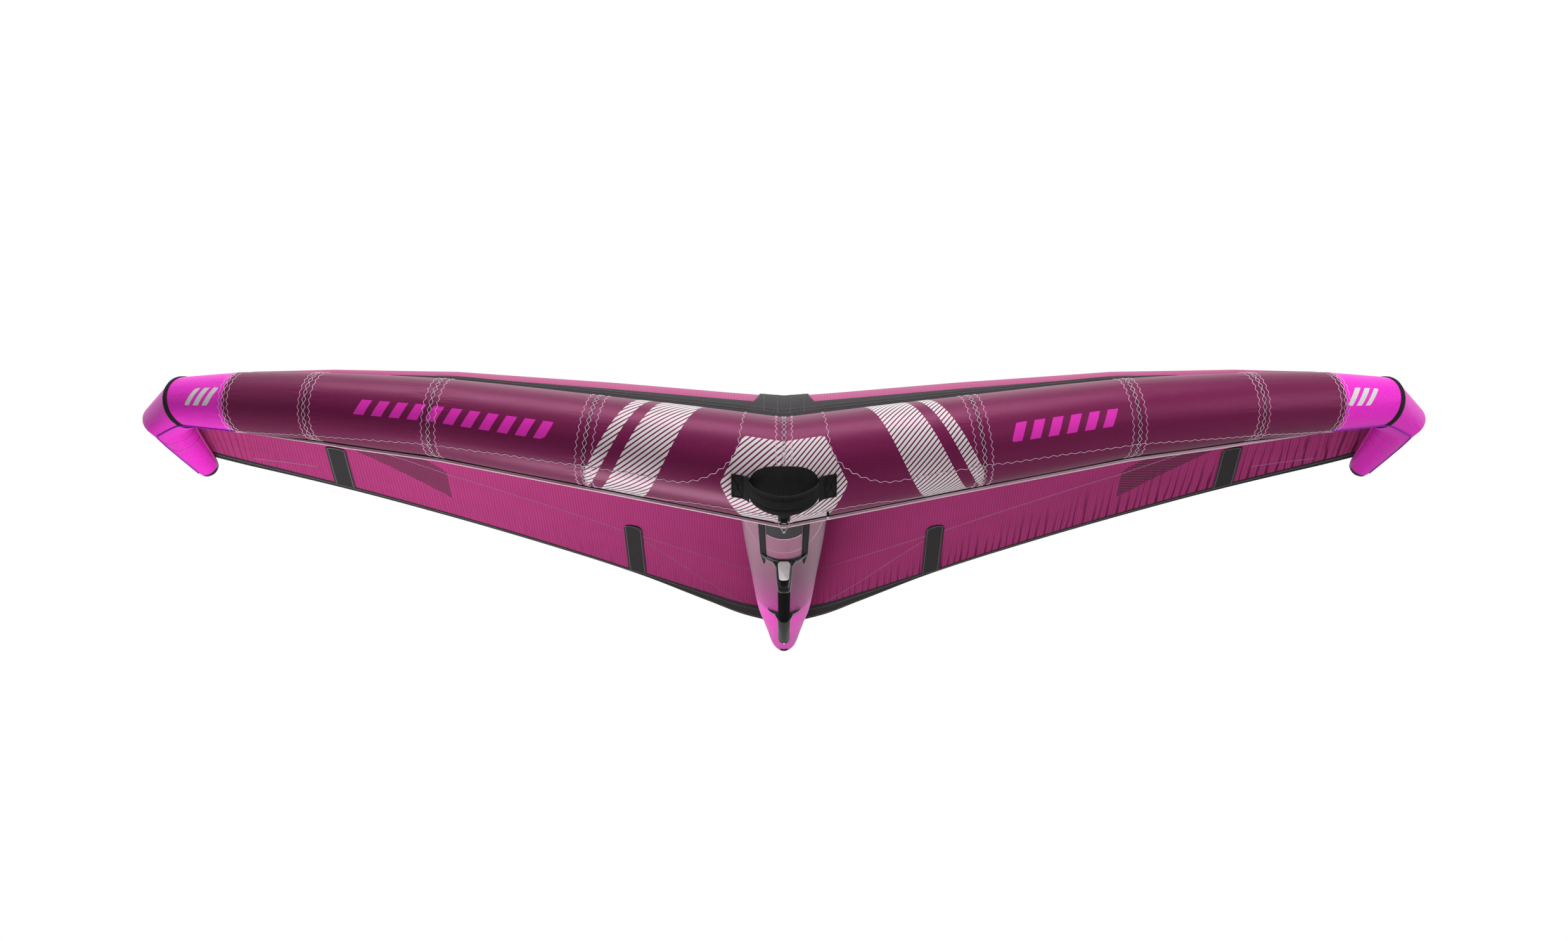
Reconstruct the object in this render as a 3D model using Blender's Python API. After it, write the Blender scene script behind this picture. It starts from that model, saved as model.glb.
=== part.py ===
"""An inflatable hand wing for foil boards: swept tube, centre strut, canopy, rigid boom and front handle.

The wing is built about the middle of its nose: +X to its right-hand tip, +Y to its trailing edge, +Z to the
outer side of the canopy. One empty then carries it all, so that the middle of the boom's grip is the origin.
"""
import math

import bmesh
import bpy
from mathutils import Matrix, Vector

# Leading edge: a tapered tube of straight panels, given at its seams from the nose to the elbow of the tip
HALF_SPAN = 1.585
TIP_SWEEP = 0.31
TIP_RISE = 0.273
NOSE_RADIUS = 0.1305
SEAM_SPAN_SHARES = (0, 0.298, 0.547, 0.7515, 0.8915, 1)
SEAM_SWEEP_SHARES = (0, 0.10, 0.26, 0.45, 0.71, 1)
SEAM_RISE_SHARES = (0, 0.315, 0.59, 0.765, 0.895, 1)
SEAM_RADIUS_SHARES = (1, 0.875, 0.762, 0.662, 0.6, 0.505)
# The elbow's second seam and the end of the tip, measured from the elbow's first seam
ELBOW_OUT = 0.08
ELBOW_BACK = 0.11
ELBOW_DROP = 0.016
ELBOW_RADIUS = 0.057
END_OUT = 0.013
END_BACK = 0.35
END_DROP = 0.093
END_RADIUS = 0.028
TUBE_SIDES = 32
CAST_STEPS = 40
SLEEVE_WALL = 0.001
BLADDER_WALL = 0.001
GAP = 0.0004
SEAT_GAP = 0.0014
SADDLE_STEPS = 4
BLADDER_START = 0.012
BLADDER_ROUND_SHARE = 0.15
BLADDER_END_SHARE = 0.2
TIP_CAP_LENGTH = 0.026
BEND_BAND_WIDTH = 0.022
BEND_BAND_WALL = 0.0015
FLANGE_SIDE = 26
FLANGE_HEIGHT = 0.012
FLANGE_THICKNESS = 0.003
DOME_SHARES = ((0, 1), (0.45, 0.95), (0.8, 0.72), (1, 0.34))
BEND = 5
END = 7

# Strut: a straight tapered tube from the nose to just behind the trailing edge
STRUT_LENGTH = 2.27
STRUT_RADIUS = 0.118
STRUT_PLACE_SHARES = (0, 0.214, 0.482, 0.692, 0.851, 0.945, 0.975, 0.991, 1)
STRUT_RADIUS_SHARES = (1, 0.963, 0.827, 0.741, 0.563, 0.45, 0.37, 0.23, 0.05)
STRUT_SIDES = 24

# Canopy: spans from the tube's upper back to the trailing edge
CENTRE_CHORD = 2.20
TRAILING_SHORT = 0.007
TRAILING_SPAN = HALF_SPAN - TRAILING_SHORT
TRAILING_SPAN_SHARES = (0, 0.08, 0.158, 0.317, 0.475, 0.634, 0.792, 0.951, 1)
TRAILING_PLACE_SHARES = (1, 0.938, 0.875, 0.743, 0.616, 0.502, 0.403, 0.318, 0.294)
TRAILING_RISE = 0.212
TRAILING_RISE_SHARES = (0.25, 0.27, 0.36, 0.552, 0.665, 0.773, 0.88, 0.975, 1)
ATTACH_SIDE = 7
CAMBER_SHARE = 0.09
PEAK_SHARE = 0.30
NOSE_POWER = 0.65
CLOTH = 0.0015
LAYER_GAP = 0.0007
SPAN_LINE_SHARES = (
    0, 0.075, 0.19, 0.281, 0.298, 0.315, 0.41, 0.547, 0.65, 0.7515, 0.784, 0.817, 0.8915, 0.95, 1,
)
INNER_POCKET_LINES = (3, 5)
OUTER_POCKET_LINES = (10, 11)
CHORD_LINE_SHARES = (0, 0.022, 0.06, 0.12, 0.20, 0.32, 0.45, 0.57, 0.67, 0.75, 0.88)
HEM_LINE_SHARE = 0.94
CENTRE_LINE = 5
BAND_ROWS = 1
NOSE_BAND_COLUMNS = 8
NOSE_PATCH_ROWS = 3
FRONT_ROWS = 5
MIDDLE_ROWS = 8
POCKET_ROW = 9
OUTER_POCKET_ROW = 8
HEM_WIDTH = 0.022
HEM_CENTRE_WIDTH = 0.13
HEM_EXTRA = 0.001
BATTEN_CLOTH = 0.0015
BATTEN_INSET = 0.012
WEB_START = 0.03
WEB_LEAST = 0.004

# Strut dressing: two reinforcing straps and the dark patch between them
STRAP_START = 0.075
STRAP_END = 0.60
STRAP_ANGLE = math.radians(29)
STRAP_SPREAD = math.radians(4.6)
STRAP_STEPS = 3
PATCH_END = 0.24
PATCH_CLEAR_ANGLE = math.radians(1)
PATCH_STEPS = 6
DRESSING = 0.0012

# Boom: a bar below the strut on two saddle feet
FRONT_FOOT_PLACE = 0.515
REAR_FOOT_PLACE = 1.315
BOOM_DROP = 0.074
FOOT_HALF_ANGLE = math.radians(31)
FOOT_LENGTH = 0.044
FOOT_WALL = 0.007
FOOT_STEPS = 8
FOOT_SHOULDER_SHARE = 0.6
FOOT_CORNER_SHARE = 0.85
FOOT_THINNING_SHARE = 0.6
LEG_WIDTH = 0.046
LEG_DEPTH = 0.030
# Along the leg: share of the way down, and the section's width and depth as shares of the leg's
FRONT_LEG_SHARES = ((0, 1.25, 1), (0.18, 1, 1), (0.8, 0.783, 1), (1, 0.783, 1), (1.235, 0.626, 0.75))
REAR_LEG_SHARES = ((0, 1.25, 1.2), (0.5, 1, 1), (1, 0.783, 1))
REAR_SEAT_SHARE = 0.72
GRIP_RADIUS = 0.0167
GRIP_FRONT = 0.50
GRIP_END = 0.955
CORE_RADIUS = 0.0125
SOCKET_DEPTH = 0.022
TAIL_RADIUS = 0.0178
BAR_END = 1.345
TAIL_END_SHARES = ((1, 1), (0.35, 0.75), (0, 0.3))
COVER_THICKNESS = 0.003
COVER_TOP_WIDTH = 0.033
COVER_BOTTOM_WIDTH = 0.027
COVER_LENGTH = 0.052
COVER_RING_RADIUS = 0.0095
COVER_CORNER_SHARE = 0.3
COVER_DROP_SHARE = 0.10
COVER_EDGE_SHARES = ((0, 1), (0.6, 1), (1, 0.93))
COVER_RING_PROUD_SHARE = 1.25
COVER_RING_PLACE_SHARE = 0.27
COVER_CORNER_STEPS = 3
BAR_SIDES = 20
CORNER_POWER = 0.5
SCREW_HEAD_RADIUS = 0.005
SCREW_RADIUS = 0.003
SCREW_LENGTH = 0.016
SCREW_SUNK_SHARE = 0.4

# Front handle on the nose, its anchors, the leash tab, the leash loop and a loose pull tab
ANCHOR_ANGLE = math.radians(-40)
ANCHOR_INNER = 0.0865
ANCHOR_WIDTH = 0.042
ANCHOR_HEIGHT = 0.062
ANCHOR_THICKNESS = 0.003
ANCHOR_RISE = 0.0125
ANCHOR_SPAN_SHARES = (0, 0.45, 1)
ANCHOR_MIDDLE_SHARE = 1.4
ANCHOR_STEPS = 4
BACKING_ANGLE = math.radians(-38)
BACKING_HALF_ANGLE = math.radians(24)
BACKING_STEPS = 8
HANDLE_STANDOFF = 0.006
HANDLE_REACH = 0.068
HANDLE_WIDTH = 0.052
HANDLE_THICKNESS = 0.012
HANDLE_END_WIDTH = 0.046
HANDLE_END_THICKNESS = 0.005
HANDLE_ROUND_SHARE = 0.75
HANDLE_STEPS = 16
HANDLE_SIDES = 12
HANDLE_CORNER_POWER = 0.6
LEASH_ANGLE = math.radians(-80)
LEASH_TAB_WIDTH = 0.026
LEASH_TAB_HEIGHT = 0.016
LEASH_TAB_THICKNESS = 0.010
LEASH_EYE_RADIUS = 0.0024
LEASH_EYE_INSET = 0.005
LEASH_CORD_RADIUS = 0.00125
LEASH_KNOT_RADIUS = 0.0035
LEASH_LOOP_DROP = 0.030
# Half of the loop from its eye to its knot: shares of its half-width and of its drop
LEASH_ROUTE_SHARES = (
    (0.45, 0), (0.8, 0), (1, 0.07), (1, 0.2), (0.97, 0.37), (0.7, 0.57), (0.42, 0.75), (0.2, 0.9), (0.1, 1),
)
CORD_SIDES = 8
TAB_SPAN = 0.108
TAB_LENGTH = 0.022
TAB_WIDTH = 0.006
TAB_THICKNESS = 0.0015

# Inflation valve on the tube's lower back, and the hose from the tube to the strut with its pinch clamp
VALVE_SPAN = 0.245
VALVE_ANGLE = math.radians(-22)
VALVE_RADIUS = 0.034
VALVE_INNER_RADIUS = 0.040
VALVE_BORE_RADIUS = 0.010
VALVE_PROUD = 0.004
VALVE_DEPTH = 0.018
VALVE_CAP_RADIUS = 0.0175
VALVE_CAP_THICKNESS = 0.006
VALVE_HINGE_OUT = 0.026
VALVE_EAR_WIDTH = 0.003
VALVE_TONGUE_WIDTH = 0.008
VALVE_PIVOT_RADIUS = 0.0026
VALVE_PIN_RADIUS = 0.001
VALVE_STEP_SHARE = 0.7
VALVE_THROAT_SHARE = 0.5
VALVE_EAR_SUNK_SHARE = 0.25
VALVE_EAR_LENGTH_SHARE = 3
VALVE_CAP_RIM_SHARE = 0.93
VALVE_TONGUE_SHARE = 0.9
HOSE_RADIUS = 0.007
HOSE_WALL = 0.0015
HOSE_TUBE_ANGLE = math.radians(22)
HOSE_SPAN = -0.19
HOSE_STRUT_PLACE = 0.30
HOSE_STRUT_ANGLE = math.radians(12)
HOSE_LEAD = 0.075
HOSE_SUNK = 0.012
HOSE_STEPS = 12
HOSE_SIDES = 12
CLAMP_WIDTH = 0.016
CLAMP_WALL = 0.0025
CLAMP_EAR = 0.003
CLAMP_CLEAR = 0.001
CLAMP_PIVOT_RADIUS = 0.0024
CLAMP_PIN_RADIUS = 0.001
CLAMP_ARM_LENGTH = 0.034
CLAMP_PIVOT_RISE_SHARE = 1.6
CLAMP_LEVER_SHARE = 0.32
CLAMP_EAR_SIZE_SHARE = 4
CLAMP_EAR_SUNK_SHARE = 0.2
CLAMP_EAR_HEIGHT_SHARE = 1.15
CLAMP_ARM_RISE_SHARE = 0.3
PIN_SIDES = 12
KNUCKLE_SIDES = 16
FINE_SIDES = 20

PLUM = (0.170, 0.004, 0.060)
PINK = (0.760, 0.030, 0.500)
CANOPY = (0.330, 0.030, 0.150)
MAUVE = (0.420, 0.200, 0.290)
CHARCOAL = (0.030, 0.029, 0.030)
BLACK = (0.008, 0.008, 0.008)
LIGHT_GREY = (0.550, 0.550, 0.550)
CLEAR = (0.500, 0.500, 0.480)


def clear_scene():
    for item in list(bpy.data.objects):
        bpy.data.objects.remove(item)


def material(name, colour, roughness, metallic=0.0):
    made = bpy.data.materials.new(name)
    made.use_nodes = True
    shader = made.node_tree.nodes["Principled BSDF"]
    shader.inputs["Base Color"].default_value = (*colour, 1)
    shader.inputs["Roughness"].default_value = roughness
    shader.inputs["Metallic"].default_value = metallic
    return made


class Wing:
    """Holds the carrying empty and the materials, and puts each finished mesh under a name."""

    def __init__(self, carrier_place):
        self.carrier = bpy.data.objects.new("wing_carrier", None)
        self.carrier.location = carrier_place
        bpy.context.collection.objects.link(self.carrier)
        self.materials = {
            "plum_cloth": material("plum_cloth", PLUM, 0.45),
            "pink_cloth": material("pink_cloth", PINK, 0.5),
            "canopy_cloth": material("canopy_cloth", CANOPY, 0.55),
            "strut_cloth": material("strut_cloth", MAUVE, 0.45),
            "black_cloth": material("black_cloth", CHARCOAL, 0.8),
            "bladder_film": material("bladder_film", CLEAR, 0.3),
            "black_plastic": material("black_plastic", BLACK, 0.3),
            "grey_plastic": material("grey_plastic", LIGHT_GREY, 0.4),
            "grip_foam": material("grip_foam", BLACK, 0.9),
            "batten_glass": material("batten_glass", CLEAR, 0.4),
            "steel": material("steel", LIGHT_GREY, 0.3, 1.0),
            "grey_cord": material("grey_cord", LIGHT_GREY, 0.6),
        }

    def add(self, name, mesh, material_name, place=(0, 0, 0), smooth_angle=math.radians(30)):
        """Names a mesh, recalculates nothing, and hangs it from the carrier with its origin at place."""
        place = Vector(place)
        if isinstance(mesh, bmesh.types.BMesh):
            bmesh.ops.translate(mesh, verts=mesh.verts, vec=-place)
            data = bpy.data.meshes.new(name)
            bmesh.ops.recalc_face_normals(mesh, faces=mesh.faces)
            mesh.to_mesh(data)
            mesh.free()
        else:
            data = mesh
        data.materials.append(self.materials[material_name])
        data.shade_smooth()
        data.set_sharp_from_angle(angle=smooth_angle)
        made = bpy.data.objects.new(name, data)
        made.location = place
        made.parent = self.carrier
        bpy.context.collection.objects.link(made)
        return made

    def cutter(self, name, mesh):
        data = bpy.data.meshes.new(name)
        bmesh.ops.recalc_face_normals(mesh, faces=mesh.faces)
        mesh.to_mesh(data)
        mesh.free()
        made = bpy.data.objects.new(name, data)
        made.parent = self.carrier
        made.hide_render = True
        made.display_type = "WIRE"
        bpy.context.collection.objects.link(made)
        return made


def boolean(target, other, operation):
    modifier = target.modifiers.new(other.name, "BOOLEAN")
    modifier.operation = operation
    modifier.object = other
    return target


def between(value, places, results):
    """Straight-line reading of a table of places and results."""
    for low, high, first, second in zip(places, places[1:], results, results[1:]):
        if value <= high:
            return first + (second - first) * (value - low) / (high - low)
    return results[-1]


def mirrored(point, side):
    return Vector((point[0] * side, point[1], point[2]))


def loft(rings, closed=False):
    """A solid through rings of points: bridged in order, and capped at both ends unless it is closed."""
    mesh = bmesh.new()
    loops = []
    for ring in rings:
        loops.append([mesh.verts.new(point) for point in ring])
    pairs = list(zip(loops, loops[1:]))
    if closed:
        pairs.append((loops[-1], loops[0]))
    for first, second in pairs:
        count = len(first)
        for i in range(count):
            j = (i + 1) % count
            mesh.faces.new((first[i], first[j], second[j], second[i]))
    if not closed:
        mesh.faces.new(loops[0])
        mesh.faces.new(loops[-1])
    bmesh.ops.recalc_face_normals(mesh, faces=mesh.faces)
    return mesh


def shell(outer_rings, inner_rings):
    """A tube wall: up the outside, round the rim, back down the inside."""
    return loft(list(outer_rings) + list(reversed(inner_rings)), closed=True)


def round_ring(centre, along, across, up, radius, sides):
    return [
        centre + (across * math.cos(turn) + up * math.sin(turn)) * radius
        for turn in (2 * math.pi * i / sides for i in range(sides))
    ]


def bar_between(start, end, radius, sides):
    """A plain round bar."""
    along = (end - start).normalized()
    across = along.orthogonal().normalized()
    up = along.cross(across)
    return loft([round_ring(p, along, across, up, radius, sides) for p in (start, end)])


def block(centre, axes, sizes):
    """A box with its own three axes."""
    mesh = bmesh.new()
    bmesh.ops.create_cube(mesh, size=1)
    matrix = Matrix([[axis[row] * size for axis, size in zip(axes, sizes)] for row in range(3)]).to_4x4()
    matrix.translation = centre
    bmesh.ops.transform(mesh, matrix=matrix, verts=mesh.verts)
    return mesh


class Tube:
    """The right-hand half of the leading edge: seam centres, radii and each panel's section axes."""

    def __init__(self):
        self.centres = [
            Vector((HALF_SPAN * s, TIP_SWEEP * w, TIP_RISE * r))
            for s, w, r in zip(SEAM_SPAN_SHARES, SEAM_SWEEP_SHARES, SEAM_RISE_SHARES)
        ]
        self.radii = [NOSE_RADIUS * share for share in SEAM_RADIUS_SHARES]
        elbow = self.centres[-1]
        self.centres.append(elbow + Vector((ELBOW_OUT, ELBOW_BACK, -ELBOW_DROP)))
        self.centres.append(elbow + Vector((END_OUT, END_BACK, -END_DROP)))
        self.radii += [ELBOW_RADIUS, END_RADIUS]
        self.ways = [(b - a).normalized() for a, b in zip(self.centres, self.centres[1:])]
        self.tapers = [
            (self.radii[i + 1] - self.radii[i]) / (self.centres[i + 1] - self.centres[i]).length
            for i in range(len(self.ways))
        ]
        up = Vector((0, 0, 1))
        up = (up - self.ways[0] * up.dot(self.ways[0])).normalized()
        back = up.cross(self.ways[0])
        self.backs, self.ups = [back], [up]
        for before, after in zip(self.ways, self.ways[1:]):
            turn = before.rotation_difference(after)
            back, up = turn @ back, turn @ up
            self.backs.append(back)
            self.ups.append(up)

    def plane(self, seam):
        """The normal of the plane that a seam lies in."""
        if seam == 0:
            return Vector((1, 0, 0))
        if seam == len(self.centres) - 1:
            return self.ways[-1]
        return (self.ways[seam - 1] + self.ways[seam]).normalized()

    def point(self, seam, panel, turn, radius, slide=0):
        """A point on a seam, seen from one of its two panels, at an angle from the back towards the top."""
        way, normal = self.ways[panel], self.plane(seam)
        radius += self.tapers[panel] * slide
        arm = (self.backs[panel] * math.cos(turn) + self.ups[panel] * math.sin(turn)) * radius
        arm -= way * (arm.dot(normal) / way.dot(normal))
        return self.centres[seam] + arm + way * slide

    def ring(self, seam, panel, inset=0, slide=0):
        radius = self.radii[seam] - inset
        return [
            self.point(seam, panel, 2 * math.pi * i / TUBE_SIDES, radius, slide) for i in range(TUBE_SIDES)
        ]

    def surface(self, panel, share, turn, proud=0):
        """A point on a panel's surface, share of the way from its inner seam to its outer one."""
        first = self.point(panel, panel, turn, self.radii[panel] + proud)
        second = self.point(panel + 1, panel, turn, self.radii[panel + 1] + proud)
        return first.lerp(second, share)

    def at_span(self, span, turn, proud=0):
        """A point on the surface at a distance from the middle of the wing."""
        places = [c.x for c in self.centres[: len(SEAM_SPAN_SHARES)]]
        panel = next(i for i in range(len(places) - 1) if span <= places[i + 1] or i == len(places) - 2)
        share = (span - places[panel]) / (places[panel + 1] - places[panel])
        return self.surface(panel, share, turn, proud)

    def along_first(self, span):
        """Centre and radius of the panel beside the middle, at a distance from the middle."""
        share = span / self.centres[1].x
        return self.centres[1] * share, self.radii[0] + (self.radii[1] - self.radii[0]) * share

    def height_over_first(self, point):
        """How far a point is outside the surface of the panel beside the middle, on either side."""
        point = Vector((abs(point.x), point.y, point.z))
        near = point.dot(self.plane(0))
        far = (self.centres[1] - point).dot(self.plane(1))
        share = near / (near + far)
        radius = self.radii[0] + (self.radii[1] - self.radii[0]) * share
        return (point - self.ways[0] * point.dot(self.ways[0])).length - radius

    def cast(self, start, way, proud):
        """From a start inside the tube, the point this far outside its surface in one direction."""
        near, far = 0, 3 * NOSE_RADIUS
        for _ in range(CAST_STEPS):
            middle = (near + far) / 2
            if self.height_over_first(start + way * middle) < proud:
                near = middle
            else:
                far = middle
        return start + way * near


TUBE = Tube()


def mirror_points(points, side):
    return [mirrored(p, side) for p in points]


def add_leading_edge(wing):
    """Sewn panels, elbows with black bands, end caps and the seam flange, on both sides."""
    panels = {}
    last_plum = len(SEAM_SPAN_SHARES) - 2
    for side, word in ((-1, "left"), (1, "right")):
        for panel in range(last_plum + 1):
            rings = [
                [
                    mirror_points(TUBE.ring(panel, panel, inset, GAP / 2), side),
                    mirror_points(TUBE.ring(panel + 1, panel, inset, -GAP / 2), side),
                ]
                for inset in (0, SLEEVE_WALL)
            ]
            name = f"tip_panel_{word}" if panel == last_plum else f"le_panel_{word}_{panel + 1}"
            cloth = "pink_cloth" if panel == last_plum else "plum_cloth"
            panels[name] = wing.add(name, shell(*rings), cloth)
        add_tip_end(wing, side, word)
        add_bend_band(wing, side, word)
        add_flange(wing, side, word)
    return panels


def add_tip_end(wing, side, word):
    """The elbow and the last tapered stretch, then the dark cap that closes it."""
    rings = [
        [
            mirror_points(TUBE.ring(BEND, BEND, inset, GAP / 2), side),
            mirror_points(TUBE.ring(BEND + 1, BEND, inset), side),
            mirror_points(TUBE.ring(END, END - 1, inset, -TIP_CAP_LENGTH - GAP / 2), side),
        ]
        for inset in (0, SLEEVE_WALL)
    ]
    wing.add(f"tip_end_{word}", shell(*rings), "pink_cloth")
    outer = []
    for place_share, size_share in DOME_SHARES:
        slide = GAP / 2 - TIP_CAP_LENGTH * (1 - place_share)
        outer.append(mirror_points(TUBE.ring(END, END - 1, END_RADIUS * (1 - size_share), slide), side))
    wing.add(f"tip_cap_{word}", loft(outer), "black_plastic")


def add_bend_band(wing, side, word):
    """The black webbing over the elbow's first seam: a thin collar that follows the mitre."""
    rings = []
    for proud in (BEND_BAND_WALL + GAP, GAP):
        rings.append(
            [
                mirror_points(TUBE.ring(BEND, BEND - 1, -proud, -BEND_BAND_WIDTH / 2), side),
                mirror_points(TUBE.ring(BEND, BEND, -proud), side),
                mirror_points(TUBE.ring(BEND, BEND, -proud, BEND_BAND_WIDTH / 2), side),
            ]
        )
    wing.add(f"bend_band_{word}", shell(*rings), "black_cloth")


def add_flange(wing, side, word):
    """The sewn seam allowance along the tube's lower back, up to the elbow."""
    turn = 2 * math.pi * FLANGE_SIDE / TUBE_SIDES
    half = FLANGE_THICKNESS / 2
    clear = BEND_BAND_WIDTH / 2 + FLANGE_THICKNESS

    def section(seam, panel, slide, height):
        foot = TUBE.point(seam, panel, turn, TUBE.radii[seam] + GAP, slide)
        top = TUBE.point(seam, panel, turn, TUBE.radii[seam] + height, slide)
        face = (top - foot).cross(TUBE.ways[panel]).normalized() * half
        return mirror_points([foot + face, top + face, top - face, foot - face], side)

    rings = [section(seam, seam, 0 if seam else GAP / 2, FLANGE_HEIGHT) for seam in range(BEND)]
    rings.append(section(BEND, BEND - 1, -clear, FLANGE_HEIGHT))
    wing.add(f"le_flange_{word}", loft(rings), "plum_cloth")


def add_bladder(wing, cutters):
    """The one long air bladder inside the leading edge, from tip to tip, open only where the valve sits."""
    def rings(inset, end_inset):
        right = []
        last = len(TUBE.centres) - 1
        for seam in range(1, last + 1):
            panel = seam - 1
            slide = 0
            more = 0
            if seam == last:
                slide = -TIP_CAP_LENGTH - end_inset
                more = END_RADIUS * BLADDER_END_SHARE
            right.append(TUBE.ring(seam, panel, inset + more, slide))
        nose = [TUBE.ring(0, 0, inset)]
        left = [mirror_points(ring, -1) for ring in reversed(right)]
        return left + nose + right

    clear = SLEEVE_WALL + GAP
    solid = wing.add("le_bladder", loft(rings(clear, GAP)), "bladder_film")
    hollow = wing.cutter("le_air", loft(rings(clear + BLADDER_WALL, GAP + BLADDER_WALL)))
    boolean(solid, hollow, "DIFFERENCE")
    for cutter in cutters:
        boolean(solid, cutter, "DIFFERENCE")
    return solid


def strut_radius(place):
    """Outer radius of the strut at a distance behind the nose's middle."""
    return STRUT_RADIUS * between(
        place, [STRUT_LENGTH * share for share in STRUT_PLACE_SHARES], STRUT_RADIUS_SHARES
    )


def strut_ring(place, inset):
    radius = strut_radius(place) - inset
    return round_ring(
        Vector((0, place, 0)), Vector((0, 1, 0)), Vector((1, 0, 0)), Vector((0, 0, 1)), radius, STRUT_SIDES
    )


def saddle_ring(inset, proud):
    """The strut's front rim, fitted to the curve of the leading edge behind it."""
    ring = []
    for point in strut_ring(0, inset):
        for _ in range(SADDLE_STEPS):
            axis_point = Vector((point.x, 0, point.z))
            hit = TUBE.cast(axis_point, Vector((0, 1, 0)), proud)
            radius = strut_radius(hit.y) - inset
            point = point * (radius / Vector((point.x, 0, point.z)).length)
        ring.append(Vector((point.x, hit.y, point.z)))
    return ring


def strut_tail_rings(inset, tail_inset):
    rings = []
    for share in STRUT_PLACE_SHARES[1:]:
        place = STRUT_LENGTH * share
        ring = strut_ring(place, min(inset, strut_radius(place) / 2))
        rings.append([p - Vector((0, tail_inset * share, 0)) for p in ring])
    return rings


def strut_bladder_rings(inset):
    """The bladder's own rounded front, clear of the leading edge, then the strut's taper."""
    front = NOSE_RADIUS + BLADDER_START + inset
    rounded = strut_ring(front, inset + STRUT_RADIUS * BLADDER_ROUND_SHARE)
    return [rounded, strut_ring(front + BLADDER_START, inset)] + strut_tail_rings(inset, inset)


def capped_shell(outer, inner):
    """A wall that is open at its front rim and closed at its far end by both rings' caps."""
    mesh = bmesh.new()

    def add_rings(rings):
        return [[mesh.verts.new(p) for p in ring] for ring in rings]

    out, ins = add_rings(outer), add_rings(inner)
    for rings in (out, ins):
        for first, second in zip(rings, rings[1:]):
            for i in range(len(first)):
                j = (i + 1) % len(first)
                mesh.faces.new((first[i], first[j], second[j], second[i]))
        mesh.faces.new(rings[-1])
    for i in range(len(out[0])):
        j = (i + 1) % len(out[0])
        mesh.faces.new((out[0][i], out[0][j], ins[0][j], ins[0][i]))
    bmesh.ops.recalc_face_normals(mesh, faces=mesh.faces)
    return mesh


def add_strut(wing, hose_cutter):
    """The strut's sewn sleeve and its bladder."""
    outer = [saddle_ring(0, SEAT_GAP)] + strut_tail_rings(0, 0)
    inner = [saddle_ring(SLEEVE_WALL, SEAT_GAP)] + strut_tail_rings(SLEEVE_WALL, SLEEVE_WALL)
    sleeve = wing.add("strut_sleeve", capped_shell(outer, inner), "strut_cloth")
    boolean(sleeve, hose_cutter, "DIFFERENCE")
    clear = SLEEVE_WALL + GAP
    bladder = wing.add("strut_bladder", loft(strut_bladder_rings(clear)), "bladder_film")
    air = wing.cutter("strut_air", loft(strut_bladder_rings(clear + BLADDER_WALL)))
    boolean(bladder, air, "DIFFERENCE")
    boolean(bladder, hose_cutter, "DIFFERENCE")


def on_strut(turn, place, proud):
    """A point over the strut's underside; turn is measured from straight down."""
    radius = strut_radius(place) + proud
    return Vector((radius * math.sin(turn), place, -radius * math.cos(turn)))


def curved_plate(turns, places, low, high):
    """A plate wrapped on the strut: turns across, places along, between two heights over its surface."""
    rings = []
    for place in places:
        lower = [on_strut(turn, place, low) for turn in turns]
        upper = [on_strut(turn, place, high) for turn in reversed(turns)]
        rings.append(lower + upper)
    return loft(rings)


def spread(middle, half, steps):
    return [middle + half * (2 * i / steps - 1) for i in range(steps + 1)]


def strut_stops(start, end):
    """Places along the strut between two ends, with the seams of its taper between them."""
    inner = [STRUT_LENGTH * share for share in STRUT_PLACE_SHARES]
    return [start] + [place for place in inner if start < place < end] + [end]


def add_strut_dressing(wing):
    low, high = GAP, GAP + DRESSING
    for side, word in ((-1, "left"), (1, "right")):
        turns = spread(side * STRAP_ANGLE, STRAP_SPREAD, STRAP_STEPS)
        plate = curved_plate(turns, strut_stops(STRAP_START, STRAP_END), low, high)
        wing.add(f"strut_strap_{word}", plate, "black_cloth")
    half = STRAP_ANGLE - STRAP_SPREAD - PATCH_CLEAR_ANGLE
    plate = curved_plate(spread(0, half, PATCH_STEPS), (STRAP_START, PATCH_END), low, high)
    wing.add("strut_patch", plate, "black_cloth")


def boom_height(place):
    """Height of the bar's middle line, which runs parallel to the strut's underside."""
    first = -strut_radius(FRONT_FOOT_PLACE) - BOOM_DROP
    second = -strut_radius(REAR_FOOT_PLACE) - BOOM_DROP
    return first + (second - first) * (place - FRONT_FOOT_PLACE) / (REAR_FOOT_PLACE - FRONT_FOOT_PLACE)


def bar_ring(place, radius):
    centre = Vector((0, place, boom_height(place)))
    return round_ring(centre, Vector((0, 1, 0)), Vector((1, 0, 0)), Vector((0, 0, 1)), radius, BAR_SIDES)


def rounded_section(centre, across, deep, width, depth, sides=BAR_SIDES, power=CORNER_POWER):
    """A rounded-rectangle ring: a circle drawn with its corners filled."""
    ring = []
    for i in range(sides):
        turn = 2 * math.pi * i / sides
        c, s = math.cos(turn), math.sin(turn)
        x = math.copysign(abs(c) ** power, c) * width / 2
        y = math.copysign(abs(s) ** power, s) * depth / 2
        ring.append(centre + across * x + deep * y)
    return ring


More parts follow.
